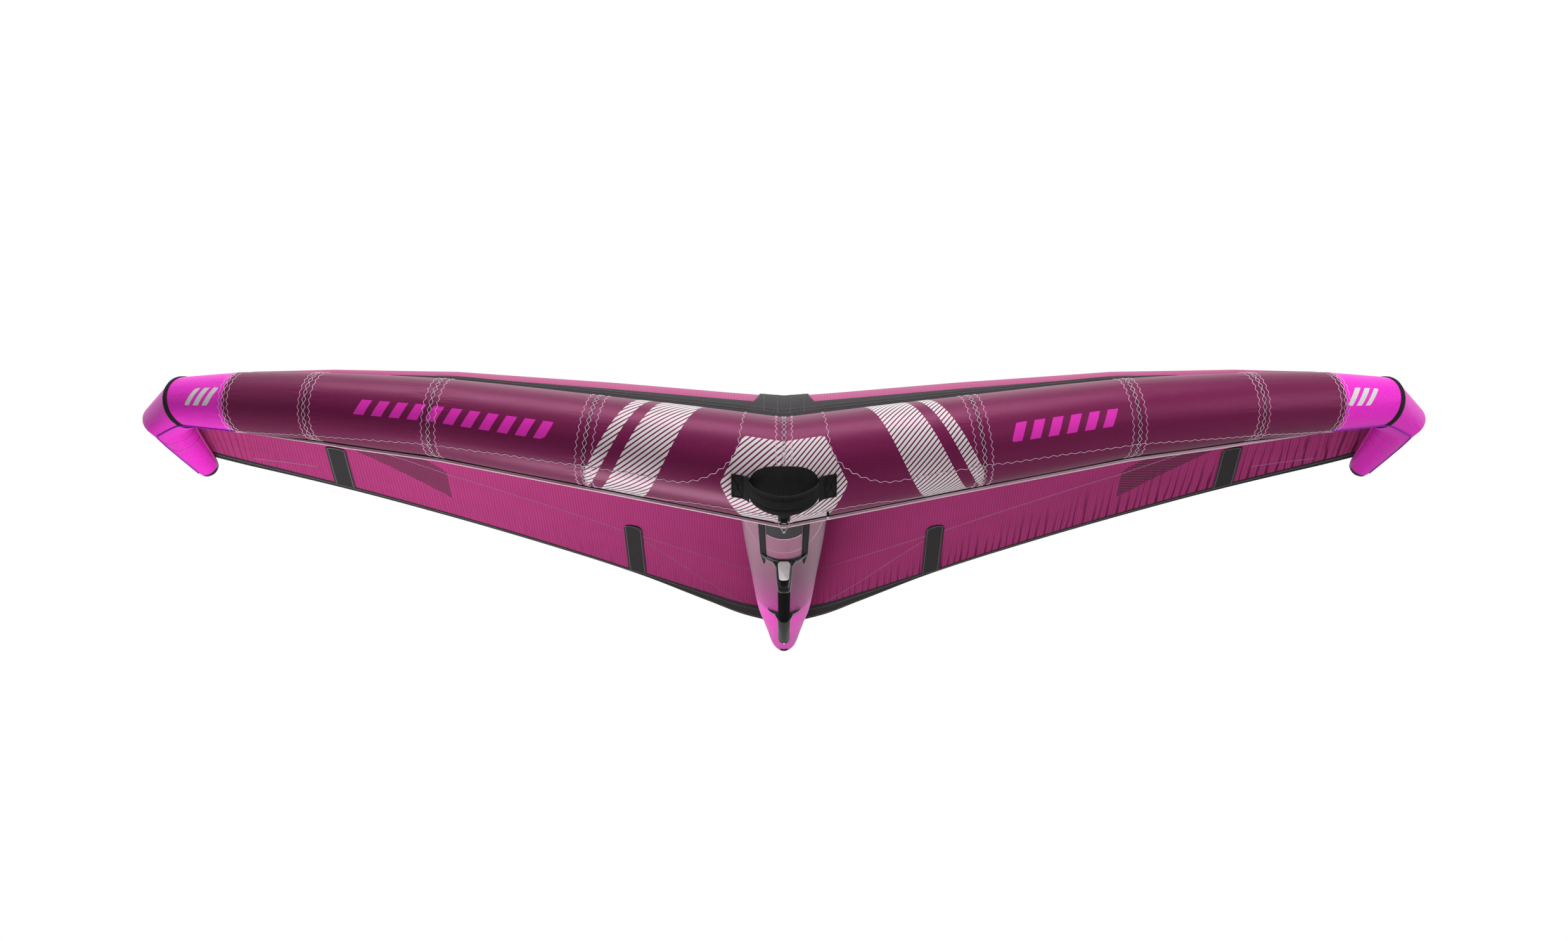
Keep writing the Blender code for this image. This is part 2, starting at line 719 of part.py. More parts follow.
def foot(place, saddle_low):
    """A saddle plate under the strut."""
    half = FOOT_LENGTH / 2
    shoulder = half * FOOT_SHOULDER_SHARE
    places = (place - half, place - shoulder, place + shoulder, place + half)
    corner_shares = (FOOT_CORNER_SHARE, 1, 1, FOOT_CORNER_SHARE)
    rings = []
    for where, share in zip(places, corner_shares):
        turns = spread(0, FOOT_HALF_ANGLE, FOOT_STEPS)
        turns[0] *= share
        turns[-1] *= share
        lower = [on_strut(turn, where, saddle_low) for turn in turns]
        upper = []
        for turn in reversed(turns):
            wall_share = 1 - FOOT_THINNING_SHARE * abs(turn) / FOOT_HALF_ANGLE
            upper.append(on_strut(turn, where, saddle_low + FOOT_WALL * wall_share))
        rings.append(lower + upper)
    return loft(rings)


def leg(place, top, bottom, stations):
    """A leg down from a saddle, its section changing along it."""
    across, back = Vector((1, 0, 0)), Vector((0, 1, 0))
    rings = []
    for share, width_share, depth_share in stations:
        centre = Vector((0, place, top + (bottom - top) * share))
        rings.append(rounded_section(centre, across, back, LEG_WIDTH * width_share, LEG_DEPTH * depth_share))
    return loft(rings)


def add_boom(wing):
    """Bar, grip, the two feet with their legs, the light cover on the front leg and the rear leg's screw."""
    low = 2 * GAP + DRESSING
    # Front foot: saddle, a leg that narrows downwards, and an elbow with a socket for the bar
    front = wing.add("boom_front_foot", foot(FRONT_FOOT_PLACE, low), "black_plastic")
    leg_back = FRONT_FOOT_PLACE - LEG_DEPTH / 2
    top = -strut_radius(FRONT_FOOT_PLACE) - low - FOOT_WALL / 2
    bottom = boom_height(leg_back)
    boolean(front, wing.cutter("front_leg", leg(leg_back, top, bottom, FRONT_LEG_SHARES)), "UNION")
    socket_end = leg_back + LEG_DEPTH / 2 - SOCKET_DEPTH
    socket = [bar_ring(socket_end, CORE_RADIUS + GAP), bar_ring(GRIP_FRONT + SOCKET_DEPTH, CORE_RADIUS + GAP)]
    boolean(front, wing.cutter("front_socket", loft(socket)), "DIFFERENCE")
    # Rear foot: saddle and a short Y leg that stands on the bar's tail
    rear = wing.add("boom_rear_foot", foot(REAR_FOOT_PLACE, low), "black_plastic")
    top = -strut_radius(REAR_FOOT_PLACE) - low - FOOT_WALL / 2
    bottom = boom_height(REAR_FOOT_PLACE) + TAIL_RADIUS * REAR_SEAT_SHARE
    boolean(rear, wing.cutter("rear_leg", leg(REAR_FOOT_PLACE, top, bottom, REAR_LEG_SHARES)), "UNION")
    room = TAIL_RADIUS + GAP
    tail_room = [bar_ring(REAR_FOOT_PLACE - LEG_DEPTH, room), bar_ring(BAR_END + LEG_DEPTH, room)]
    boolean(rear, wing.cutter("rear_seat", loft(tail_room)), "DIFFERENCE")
    # Bar: a core through the grip, then the bare tail with its rounded end
    stations = (
        (socket_end + GAP, CORE_RADIUS),
        (GRIP_END + GAP, CORE_RADIUS),
        (GRIP_END + GAP, TAIL_RADIUS),
    )
    stations += tuple((BAR_END - TAIL_RADIUS * back, TAIL_RADIUS * size) for back, size in TAIL_END_SHARES)
    wing.add("boom_bar", loft([bar_ring(place, radius) for place, radius in stations]), "black_plastic")
    grip_front = leg_back + LEG_DEPTH / 2 + GAP
    outer = [bar_ring(grip_front, GRIP_RADIUS), bar_ring(GRIP_END, GRIP_RADIUS)]
    inner = [bar_ring(grip_front, CORE_RADIUS + GAP), bar_ring(GRIP_END, CORE_RADIUS + GAP)]
    wing.add("boom_grip", shell(outer, inner), "grip_foam")
    add_cover(wing, leg_back - LEG_DEPTH / 2)
    add_foot_screw(wing, rear)


def add_cover(wing, face_place):
    """The light-grey cover on the front of the front leg, with its raised ring."""
    across, down = Vector((1, 0, 0)), Vector((0, 0, -1))
    top = -strut_radius(FRONT_FOOT_PLACE) - BOOM_DROP * COVER_DROP_SHARE
    corner = COVER_BOTTOM_WIDTH * COVER_CORNER_SHARE
    points = []
    for x_sign, middle_drop, width, first_turn in (
        (1, corner, COVER_TOP_WIDTH, math.pi / 2),
        (1, COVER_LENGTH - corner, COVER_BOTTOM_WIDTH, 0),
        (-1, COVER_LENGTH - corner, COVER_BOTTOM_WIDTH, -math.pi / 2),
        (-1, corner, COVER_TOP_WIDTH, math.pi),
    ):
        middle = across * x_sign * (width / 2 - corner) + down * middle_drop
        for step in range(COVER_CORNER_STEPS + 1):
            turn = first_turn - math.pi / 2 * step / COVER_CORNER_STEPS
            points.append(middle + (across * math.cos(turn) - down * math.sin(turn)) * corner)
    rings = []
    centre = down * COVER_LENGTH / 2
    for proud_share, size_share in COVER_EDGE_SHARES:
        shift = Vector((0, face_place - GAP - COVER_THICKNESS * proud_share, top))
        rings.append([centre + (point - centre) * size_share + shift for point in points])
    cover = wing.add("leg_cover", loft(rings), "grey_plastic")
    ring_front = face_place - GAP - COVER_THICKNESS * COVER_RING_PROUD_SHARE
    ring_centre = Vector((0, ring_front, top - COVER_LENGTH * COVER_RING_PLACE_SHARE))
    disc = bar_between(
        ring_centre, ring_centre + Vector((0, COVER_THICKNESS, 0)), COVER_RING_RADIUS, FINE_SIDES
    )
    boolean(cover, wing.cutter("cover_ring", disc), "UNION")
    return cover


def add_foot_screw(wing, rear):
    """The screw up through the bar's tail into the rear leg."""
    place = REAR_FOOT_PLACE
    bottom = boom_height(place)
    start = Vector((0, place, bottom - TAIL_RADIUS * SCREW_SUNK_SHARE))
    end = start + Vector((0, 0, SCREW_LENGTH + TAIL_RADIUS))
    hole = bar_between(start - Vector((0, 0, TAIL_RADIUS)), end, SCREW_RADIUS + GAP, FINE_SIDES)
    head_hole = bar_between(
        start - Vector((0, 0, TAIL_RADIUS)), start, SCREW_HEAD_RADIUS + GAP, FINE_SIDES
    )
    bore, counterbore = wing.cutter("screw_bore", hole), wing.cutter("screw_counterbore", head_hole)
    for target in (bpy.data.objects["boom_bar"], rear):
        boolean(target, bore, "DIFFERENCE")
        boolean(target, counterbore, "DIFFERENCE")
    down = Vector((0, 0, -1))
    head_top = start + down * GAP
    across, back = Vector((1, 0, 0)), Vector((0, 1, 0))
    stations = (
        (start.z + SCREW_LENGTH, SCREW_RADIUS),
        (head_top.z, SCREW_RADIUS),
        (head_top.z, SCREW_HEAD_RADIUS),
        (head_top.z - SCREW_RADIUS, SCREW_HEAD_RADIUS),
    )
    rings = [
        round_ring(Vector((0, place, z)), down, across, back, radius, FINE_SIDES) for z, radius in stations
    ]
    wing.add("boom_screw", loft(rings), "steel")


def trailing_point(share):
    """A point of the trailing edge, at a share of its half-span."""
    place = CENTRE_CHORD * between(share, TRAILING_SPAN_SHARES, TRAILING_PLACE_SHARES)
    rise = TRAILING_RISE * between(share, TRAILING_SPAN_SHARES, TRAILING_RISE_SHARES)
    return Vector((TRAILING_SPAN * share, place, rise))


ATTACH_TURN = 2 * math.pi * ATTACH_SIDE / TUBE_SIDES
ATTACH_PROUD = CLOTH + BEND_BAND_WALL + 3 * GAP


def camber_shape(share):
    """Height of the canopy's section over its chord line, as a share of the highest point."""
    if share <= 0 or share >= 1:
        return 0
    tail_power = NOSE_POWER * (1 - PEAK_SHARE) / PEAK_SHARE
    return (share / PEAK_SHARE) ** NOSE_POWER * ((1 - share) / (1 - PEAK_SHARE)) ** tail_power


def tip_edge(share):
    """The canopy's outer edge, sewn along the top of the tip from the elbow to the cap."""
    points = [
        TUBE.point(BEND, BEND, ATTACH_TURN, TUBE.radii[BEND] + ATTACH_PROUD),
        TUBE.point(BEND + 1, BEND, ATTACH_TURN, TUBE.radii[BEND + 1] + ATTACH_PROUD),
        TUBE.point(END, END - 1, ATTACH_TURN, TUBE.radii[END] + ATTACH_PROUD, -TIP_CAP_LENGTH),
    ]
    knee = (points[1] - points[0]).length
    whole = knee + (points[2] - points[1]).length
    if share <= knee / whole:
        return points[0].lerp(points[1], share * whole / knee)
    return points[1].lerp(points[2], (share - knee / whole) * whole / (whole - knee))


def canopy_point(span_share, chord_share):
    """A point of the canopy's outer face on the right-hand half."""
    edge = tip_edge(chord_share)
    if span_share >= 1:
        return edge
    front = TUBE.at_span(HALF_SPAN * span_share, ATTACH_TURN, ATTACH_PROUD)
    back = trailing_point(span_share)
    point = front.lerp(back, chord_share)
    camber = CAMBER_SHARE * (back - front).length * camber_shape(chord_share)
    return point + Vector((0, 0, camber))


def chord_lines(span_share):
    """Where the canopy's grid lines cross one section; the last two are the hem's edges."""
    front = canopy_point(span_share, 0)
    back = canopy_point(span_share, 1)
    near_centre = max(0, 1 - span_share / SPAN_LINE_SHARES[CENTRE_LINE])
    width = HEM_WIDTH + HEM_CENTRE_WIDTH * near_centre
    hem = 1 - width / (back - front).length
    scale = hem / HEM_LINE_SHARE
    return [share * scale for share in CHORD_LINE_SHARES] + [hem, 1]


def canopy_grid():
    return [[canopy_point(s, c) for c in chord_lines(s)] for s in SPAN_LINE_SHARES]


def sheet(grid, columns, rows, side, raise_by, thickness, trims=(0, 0, 0, 0)):
    """A cloth layer over part of the canopy's grid.

    columns and rows are index ranges, or rows is one range per column. trims pull its four edges in:
    inner, outer, front and back.
    """
    mesh = bmesh.new()
    verts = {}
    first_column, last_column = columns

    def row_range(column):
        return rows if isinstance(rows[0], int) else rows[column - first_column]

    def vert(column, row):
        if (column, row) not in verts:
            point = grid[column][row].copy()
            inner, outer, front, back = trims
            if column == first_column and inner:
                point += (grid[column + 1][row] - point).normalized() * inner
            if column == last_column and outer:
                point += (grid[column - 1][row] - point).normalized() * outer
            low, high = row_range(min(column, last_column - 1))
            if row == low and front:
                point += (grid[column][row + 1] - point).normalized() * front
            if row == high and back:
                point += (grid[column][row - 1] - point).normalized() * back
            point.z += raise_by
            verts[(column, row)] = mesh.verts.new(mirrored(point, side))
        return verts[(column, row)]

    faces = []
    for column in range(first_column, last_column):
        low, high = row_range(column)
        for row in range(low, high):
            a, b = vert(column, row), vert(column + 1, row)
            c, d = vert(column + 1, row + 1), vert(column, row + 1)
            for corners in ((a, b, c), (a, c, d)):
                faces.append(mesh.faces.new(corners if side > 0 else tuple(reversed(corners))))
    made = bmesh.ops.extrude_face_region(mesh, geom=faces)["geom"]
    moved = [item for item in made if isinstance(item, bmesh.types.BMVert)]
    bmesh.ops.translate(mesh, verts=moved, vec=Vector((0, 0, -thickness)))
    bmesh.ops.recalc_face_normals(mesh, faces=mesh.faces)
    return mesh


def add_canopy(wing):
    """Three sewn cloth panels a side, the hem, batten pockets with their battens, and the nose band."""
    grid = canopy_grid()
    columns = (0, len(SPAN_LINE_SHARES) - 1)
    hem_row = len(CHORD_LINE_SHARES)
    seam = GAP / 2
    for side, word in ((-1, "left"), (1, "right")):
        for name, low, high in (
            ("front", 0, FRONT_ROWS),
            ("middle", FRONT_ROWS, MIDDLE_ROWS),
            ("rear", MIDDLE_ROWS, hem_row),
        ):
            panel = sheet(grid, columns, (low, high), side, 0, CLOTH, (seam, 0, seam, seam))
            wing.add(f"canopy_{name}_{word}", panel, "canopy_cloth")
        hem = sheet(
            grid, columns, (hem_row, hem_row + 1), side, HEM_EXTRA / 2, CLOTH + HEM_EXTRA, (seam, 0, seam, 0)
        )
        wing.add(f"trailing_hem_{word}", hem, "black_cloth")
        for where, lines, row in (
            ("inner", INNER_POCKET_LINES, POCKET_ROW),
            ("outer", OUTER_POCKET_LINES, OUTER_POCKET_ROW),
        ):
            add_pocket(wing, grid, side, word, where, lines, row, hem_row)


def add_pocket(wing, grid, side, word, where, lines, row, hem_row):
    """A batten on the canopy's inner face and the pocket cloth that covers it."""
    under = -CLOTH - LAYER_GAP
    batten = sheet(
        grid, lines, (row, hem_row), side, under, BATTEN_CLOTH, (BATTEN_INSET,) * 4
    )
    wing.add(f"batten_{where}_{word}", batten, "batten_glass")
    pocket = sheet(grid, lines, (row, hem_row), side, under - BATTEN_CLOTH - LAYER_GAP, CLOTH, (0, 0, 0, GAP))
    wing.add(f"batten_pocket_{where}_{word}", pocket, "black_cloth")


def add_nose_band(wing):
    """The black reinforcement over the canopy's front edge, widened to a patch at the middle."""
    half = canopy_grid()
    left = [[mirrored(p, -1) for p in column] for column in reversed(half[1:])]
    grid = left + half
    middle = len(left)
    columns = (middle - NOSE_BAND_COLUMNS, middle + NOSE_BAND_COLUMNS)
    rows = []
    for column in range(*columns):
        near = column in (middle - 1, middle)
        rows.append((0, NOSE_PATCH_ROWS if near else BAND_ROWS))
    band = sheet(grid, columns, rows, 1, CLOTH + LAYER_GAP, CLOTH)
    wing.add("nose_band", band, "black_cloth")


def add_web(wing):
    """The upright cloth keel that ties the canopy's centre line to the top of the strut."""
    shares = chord_lines(0)
    tops = [canopy_point(0, share) for share in shares]
    half = CLOTH / 2
    drop = CLOTH + GAP + HEM_EXTRA
    upper = [
        (top.y, top.z - drop)
        for top in tops
        if top.y > NOSE_RADIUS + WEB_START and top.z - drop > strut_radius(top.y) + WEB_LEAST
    ]
    lower = [(y, strut_radius(y) + GAP) for y in strut_stops(upper[0][0], upper[-1][0])]
    mesh = bmesh.new()
    outline = [mesh.verts.new((-half, y, z)) for y, z in upper + list(reversed(lower))]
    face = mesh.faces.new(outline)
    made = bmesh.ops.extrude_face_region(mesh, geom=[face])["geom"]
    moved = [item for item in made if isinstance(item, bmesh.types.BMVert)]
    bmesh.ops.translate(mesh, verts=moved, vec=Vector((CLOTH, 0, 0)))
    wing.add("strut_web", mesh, "canopy_cloth")


def nose_point(x, angle, proud):
    """A point over the nose's front; angle is measured from straight forward, up being positive."""
    centre, _ = TUBE.along_first(abs(x))
    way = Vector((0, -math.cos(angle), math.sin(angle)))
    return TUBE.cast(Vector((x, centre.y, centre.z)), way, proud)


def nose_plate(spans, angles, heights, low=GAP):
    """A cloth plate wrapped on the nose, with a height of its own at each span."""
    rings = []
    for x, height in zip(spans, heights):
        lower = [nose_point(x, angle, low) for angle in angles]
        upper = [nose_point(x, angle, low + height) for angle in reversed(angles)]
        rings.append(lower + upper)
    return loft(rings)


def add_front_handle(wing):
    """Two sewn anchors, the dark backing between them and the padded loop that stands off the nose."""
    half_turn = ANCHOR_HEIGHT / 2 / NOSE_RADIUS
    angles = spread(ANCHOR_ANGLE, half_turn, ANCHOR_STEPS)
    for side, word in ((-1, "left"), (1, "right")):
        spans = [
            side * (ANCHOR_INNER + ANCHOR_WIDTH * share) for share in ANCHOR_SPAN_SHARES
        ]
        heights = (ANCHOR_RISE, ANCHOR_THICKNESS * ANCHOR_MIDDLE_SHARE, ANCHOR_THICKNESS)
        wing.add(f"handle_anchor_{word}", nose_plate(spans, angles, heights), "black_cloth")
    end = ANCHOR_INNER - GAP
    backing = spread(BACKING_ANGLE, BACKING_HALF_ANGLE, BACKING_STEPS)
    wing.add("handle_backing", nose_plate((-end, 0, end), backing, [DRESSING] * 3), "black_cloth")
    across = Vector((1, 0, 0))
    reach_way = Vector((0, -math.cos(ANCHOR_ANGLE), math.sin(ANCHOR_ANGLE)))
    wide_way = Vector((0, math.sin(ANCHOR_ANGLE), math.cos(ANCHOR_ANGLE)))
    handle_end = end - HANDLE_END_THICKNESS / 2
    root = nose_point(handle_end, ANCHOR_ANGLE, HANDLE_STANDOFF)
    pivot = Vector((0, root.y, root.z))
    rings = []
    for i in range(HANDLE_STEPS + 1):
        turn = math.pi * i / HANDLE_STEPS
        swell = math.sin(turn) ** HANDLE_ROUND_SHARE if 0 < i < HANDLE_STEPS else 0
        x = -handle_end * math.copysign(abs(math.cos(turn)) ** HANDLE_ROUND_SHARE, math.cos(turn))
        root = nose_point(x, ANCHOR_ANGLE, HANDLE_STANDOFF)
        centre = root + reach_way * (HANDLE_REACH * swell)
        way = (across * math.sin(turn) + reach_way * math.cos(turn)).normalized()
        normal = way.cross(wide_way).normalized()
        width = HANDLE_END_WIDTH + (HANDLE_WIDTH - HANDLE_END_WIDTH) * swell
        thick = HANDLE_END_THICKNESS + (HANDLE_THICKNESS - HANDLE_END_THICKNESS) * swell
        rings.append(
            rounded_section(centre, wide_way, normal, width, thick, HANDLE_SIDES, HANDLE_CORNER_POWER)
        )
    wing.add("front_handle", loft(rings), "black_cloth", pivot)


def add_leash(wing):
    """The webbing tab below the handle and the cord loop that hangs through its eye."""
    across, back = Vector((1, 0, 0)), Vector((0, 1, 0))
    centre = nose_point(0, LEASH_ANGLE, GAP + LEASH_TAB_THICKNESS / 2)
    out = Vector((0, -math.cos(LEASH_ANGLE), math.sin(LEASH_ANGLE)))
    up = out.cross(across)
    tab = wing.add(
        "leash_tab",
        block(centre, (across, out, up), (LEASH_TAB_WIDTH, LEASH_TAB_THICKNESS, LEASH_TAB_HEIGHT)),
        "black_cloth",
    )
    eye = centre + out * (LEASH_TAB_THICKNESS / 2 - LEASH_EYE_INSET)
    reach = across * LEASH_TAB_WIDTH
    bore = bar_between(eye - reach, eye + reach, LEASH_EYE_RADIUS, FINE_SIDES)
    boolean(tab, wing.cutter("leash_eye", bore), "DIFFERENCE")
    side = LEASH_TAB_WIDTH / 2 + LEASH_CORD_RADIUS * 2
    down = Vector((0, 0, -1))
    knot = eye + down * LEASH_LOOP_DROP
    right = [eye + across * side * x + down * LEASH_LOOP_DROP * z for x, z in LEASH_ROUTE_SHARES]
    left = [Vector((-p.x, p.y, p.z)) for p in reversed(right)]
    route = right + left
    rings = []
    count = len(route)
    for i, point in enumerate(route):
        way = (route[(i + 1) % count] - route[i - 1]).normalized()
        rings.append(round_ring(point, way, back, way.cross(back), LEASH_CORD_RADIUS, CORD_SIDES))
    loop = wing.add("leash_loop", loft(rings, closed=True), "grey_cord", eye)
    ball = bmesh.new()
    bmesh.ops.create_icosphere(ball, subdivisions=2, radius=LEASH_KNOT_RADIUS)
    bmesh.ops.translate(ball, verts=ball.verts, vec=knot)
    boolean(loop, wing.cutter("leash_knot", ball), "UNION")


def add_pull_tab(wing):
    """The small loose webbing tab to the right of the leash tab, sewn on along its upper edge."""
    edge = nose_point(TAB_SPAN, LEASH_ANGLE, GAP + TAB_THICKNESS / 2)
    centre = edge + Vector((0, 0, -TAB_LENGTH / 2))
    axes = (Vector((1, 0, 0)), Vector((0, 1, 0)), Vector((0, 0, 1)))
    wing.add("pull_tab", block(centre, axes, (TAB_WIDTH, TAB_THICKNESS, TAB_LENGTH)), "black_cloth", edge)


def add_valve(wing, panel):
    """The inflation valve in the tube's back, its hinged cap and the pin; returns the hole's cutter."""
    centre, radius = TUBE.along_first(VALVE_SPAN)
    way, back, up = TUBE.ways[0], TUBE.backs[0], TUBE.ups[0]
    out = back * math.cos(VALVE_ANGLE) + up * math.sin(VALVE_ANGLE)
    side = way.cross(out).normalized()
    face = centre + out * radius

    def at(height):
        return face + out * height

    stations = (
        (VALVE_PROUD, VALVE_RADIUS),
        (-VALVE_DEPTH * VALVE_STEP_SHARE, VALVE_RADIUS),
        (-VALVE_DEPTH * VALVE_STEP_SHARE, VALVE_INNER_RADIUS),
        (-VALVE_DEPTH, VALVE_INNER_RADIUS),
    )
    rings = [round_ring(at(h), out, way, side, r, FINE_SIDES * 2) for h, r in stations]
    base = wing.add("valve_base", loft(rings), "black_plastic")
    throat = bar_between(
        at(-VALVE_DEPTH * VALVE_THROAT_SHARE), at(VALVE_DEPTH), VALVE_BORE_RADIUS, FINE_SIDES
    )
    boolean(base, wing.cutter("valve_throat", throat), "DIFFERENCE")
    hinge = at(VALVE_PROUD + VALVE_CAP_THICKNESS / 2) + way * VALVE_HINGE_OUT
    ear_height = VALVE_CAP_THICKNESS + VALVE_PROUD
    ear_length = VALVE_PIVOT_RADIUS * VALVE_EAR_LENGTH_SHARE
    tongue_half = VALVE_TONGUE_WIDTH / 2
    for sign in (-1, 1):
        middle = tongue_half + GAP + VALVE_EAR_WIDTH / 2
        place = hinge + side * sign * middle - out * VALVE_CAP_THICKNESS * VALVE_EAR_SUNK_SHARE
        ear = block(place, (way, side, out), (ear_length, VALVE_EAR_WIDTH, ear_height))
        boolean(base, wing.cutter(f"valve_ear_{'low' if sign < 0 else 'high'}", ear), "UNION")
    reach = tongue_half + GAP + VALVE_EAR_WIDTH / 2
    pin = bar_between(hinge - side * reach, hinge + side * reach, VALVE_PIN_RADIUS, PIN_SIDES)
    boolean(base, wing.cutter("valve_pin", pin), "UNION")
    low, high = VALVE_PROUD + GAP, VALVE_PROUD + VALVE_CAP_THICKNESS
    stations = (
        (low, VALVE_CAP_RADIUS),
        (high - GAP, VALVE_CAP_RADIUS),
        (high, VALVE_CAP_RADIUS * VALVE_CAP_RIM_SHARE),
    )
    rings = [round_ring(at(h), out, way, side, r, FINE_SIDES * 2) for h, r in stations]
    cap = wing.add("valve_cap", loft(rings), "black_plastic", hinge)
    inner, outer = VALVE_CAP_RADIUS * VALVE_TONGUE_SHARE, VALVE_HINGE_OUT
    tongue_place = at((low + high) / 2) + way * (inner + outer) / 2
    tongue_height = (high - low) * VALVE_TONGUE_SHARE
    tongue = block(tongue_place, (way, side, out), (outer - inner, VALVE_TONGUE_WIDTH, tongue_height))
    knuckle = bar_between(
        hinge - side * tongue_half, hinge + side * tongue_half, VALVE_PIVOT_RADIUS, KNUCKLE_SIDES
    )
    boolean(cap, wing.cutter("valve_tongue", tongue), "UNION")
    boolean(cap, wing.cutter("valve_knuckle", knuckle), "UNION")
    bore = bar_between(hinge - side * reach, hinge + side * reach, VALVE_PIN_RADIUS + GAP, PIN_SIDES)
    boolean(cap, wing.cutter("valve_cap_bore", bore), "DIFFERENCE")
    hole = bar_between(at(-VALVE_DEPTH), at(VALVE_DEPTH), VALVE_RADIUS + GAP, FINE_SIDES * 2)
    hole_cutter = wing.cutter("valve_hole", hole)
    boolean(panel, hole_cutter, "DIFFERENCE")
    return hole_cutter


def hose_route():
    """Middle line of the hose from inside the leading edge to inside the strut, as a smooth curve."""
    turn = HOSE_TUBE_ANGLE
    centre, radius = TUBE.along_first(-HOSE_SPAN)
    out = TUBE.backs[0] * math.cos(turn) + TUBE.ups[0] * math.sin(turn)
    start, out = mirrored(centre + out * radius, -1), mirrored(out, -1)
    strut_out = Vector((-math.cos(HOSE_STRUT_ANGLE), 0, math.sin(HOSE_STRUT_ANGLE)))
    end = Vector((0, HOSE_STRUT_PLACE, 0)) + strut_out * strut_radius(HOSE_STRUT_PLACE)
    controls = (start, start + out * HOSE_LEAD, end + strut_out * HOSE_LEAD, end)
    points = [start - out * HOSE_SUNK]
    for i in range(HOSE_STEPS + 1):
        t = i / HOSE_STEPS
        weights = ((1 - t) ** 3, 3 * t * (1 - t) ** 2, 3 * t**2 * (1 - t), t**3)
        points.append(sum((c * w for c, w in zip(controls, weights)), Vector()))
    points.append(end - strut_out * HOSE_SUNK)
    return points


def tube_rings(points, radius, sides):
    rings = []
    last = len(points) - 1
    for i, point in enumerate(points):
        way = (points[min(i + 1, last)] - points[max(i - 1, 0)]).normalized()
        across = way.cross(Vector((0, 0, 1))).normalized()
        rings.append(round_ring(point, way, across, way.cross(across), radius, sides))
    return rings


def add_hose(wing, panel):
    """The air hose from the tube to the strut, and its pinch clamp; returns the holes' cutter."""
    points = hose_route()
    outside = tube_rings(points, HOSE_RADIUS, HOSE_SIDES)
    hose = shell(outside, tube_rings(points, HOSE_RADIUS - HOSE_WALL, HOSE_SIDES))
    wing.add("inflation_hose", hose, "bladder_film")
    cutter = wing.cutter("hose_holes", loft(tube_rings(points, HOSE_RADIUS + GAP, HOSE_SIDES)))
    boolean(panel, cutter, "DIFFERENCE")
    middle = len(points) // 2
    centre = points[middle]
    way = (points[middle + 1] - points[middle - 1]).normalized()
    across = way.cross(Vector((0, 0, 1))).normalized()
    up = across.cross(way)
    half = CLAMP_WIDTH / 2
    ends = [centre - way * half, centre + way * half]
    bore = HOSE_RADIUS + CLAMP_CLEAR
    outer = [round_ring(p, way, across, up, bore + CLAMP_WALL, KNUCKLE_SIDES) for p in ends]
    inner = [round_ring(p, way, across, up, bore, KNUCKLE_SIDES) for p in ends]
    ring = wing.add("hose_clamp", shell(outer, inner), "black_plastic")
    pivot = centre + up * (bore + CLAMP_WALL + CLAMP_PIVOT_RADIUS * CLAMP_PIVOT_RISE_SHARE)
    lever_width = CLAMP_WIDTH * CLAMP_LEVER_SHARE
    reach = lever_width / 2 + GAP + CLAMP_EAR / 2
    size = CLAMP_PIVOT_RADIUS * CLAMP_EAR_SIZE_SHARE
    for sign in (-1, 1):
        place = pivot + way * sign * reach - up * size * CLAMP_EAR_SUNK_SHARE
        ear = block(place, (across, way, up), (size, CLAMP_EAR, size * CLAMP_EAR_HEIGHT_SHARE))
        boolean(ring, wing.cutter(f"clamp_ear_{'front' if sign < 0 else 'rear'}", ear), "UNION")
    pin = bar_between(pivot - way * reach, pivot + way * reach, CLAMP_PIN_RADIUS, PIN_SIDES)
    boolean(ring, wing.cutter("clamp_pin", pin), "UNION")
    half = way * lever_width / 2
    knuckle = bar_between(pivot - half, pivot + half, CLAMP_PIVOT_RADIUS, KNUCKLE_SIDES)
    lever = wing.add("clamp_lever", knuckle, "black_plastic", pivot)
    arm_place = pivot + across * CLAMP_ARM_LENGTH / 2 + up * CLAMP_PIVOT_RADIUS * CLAMP_ARM_RISE_SHARE
    arm = block(arm_place, (across, way, up), (CLAMP_ARM_LENGTH, lever_width, CLAMP_PIVOT_RADIUS))
    boolean(lever, wing.cutter("clamp_arm", arm), "UNION")
    bore = bar_between(pivot - way * reach, pivot + way * reach, CLAMP_PIN_RADIUS + GAP, PIN_SIDES)
    boolean(lever, wing.cutter("clamp_bore", bore), "DIFFERENCE")
    return cutter


def main():
    clear_scene()
    grip_middle = (GRIP_FRONT + GRIP_END) / 2
    wing = Wing(Vector((0, -grip_middle, -boom_height(grip_middle))))
    panels = add_leading_edge(wing)
    valve_hole = add_valve(wing, panels["le_panel_right_1"])
    hose_holes = add_hose(wing, panels["le_panel_left_1"])
    add_bladder(wing, (valve_hole, hose_holes))
    add_strut(wing, hose_holes)
    add_strut_dressing(wing)
    add_boom(wing)
    add_canopy(wing)
    add_nose_band(wing)
    add_web(wing)
    add_front_handle(wing)
    add_leash(wing)
    add_pull_tab(wing)


main()
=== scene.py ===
"""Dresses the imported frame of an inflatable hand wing: sewn cloth, padding, webbing, prints and fittings.

The frame is in metres: +X to the wing's right-hand tip, +Y to its trailing edge, +Z up, with the
middle of the boom's grip at the origin. The shapes of the cloth follow the same sizes as the part.
"""

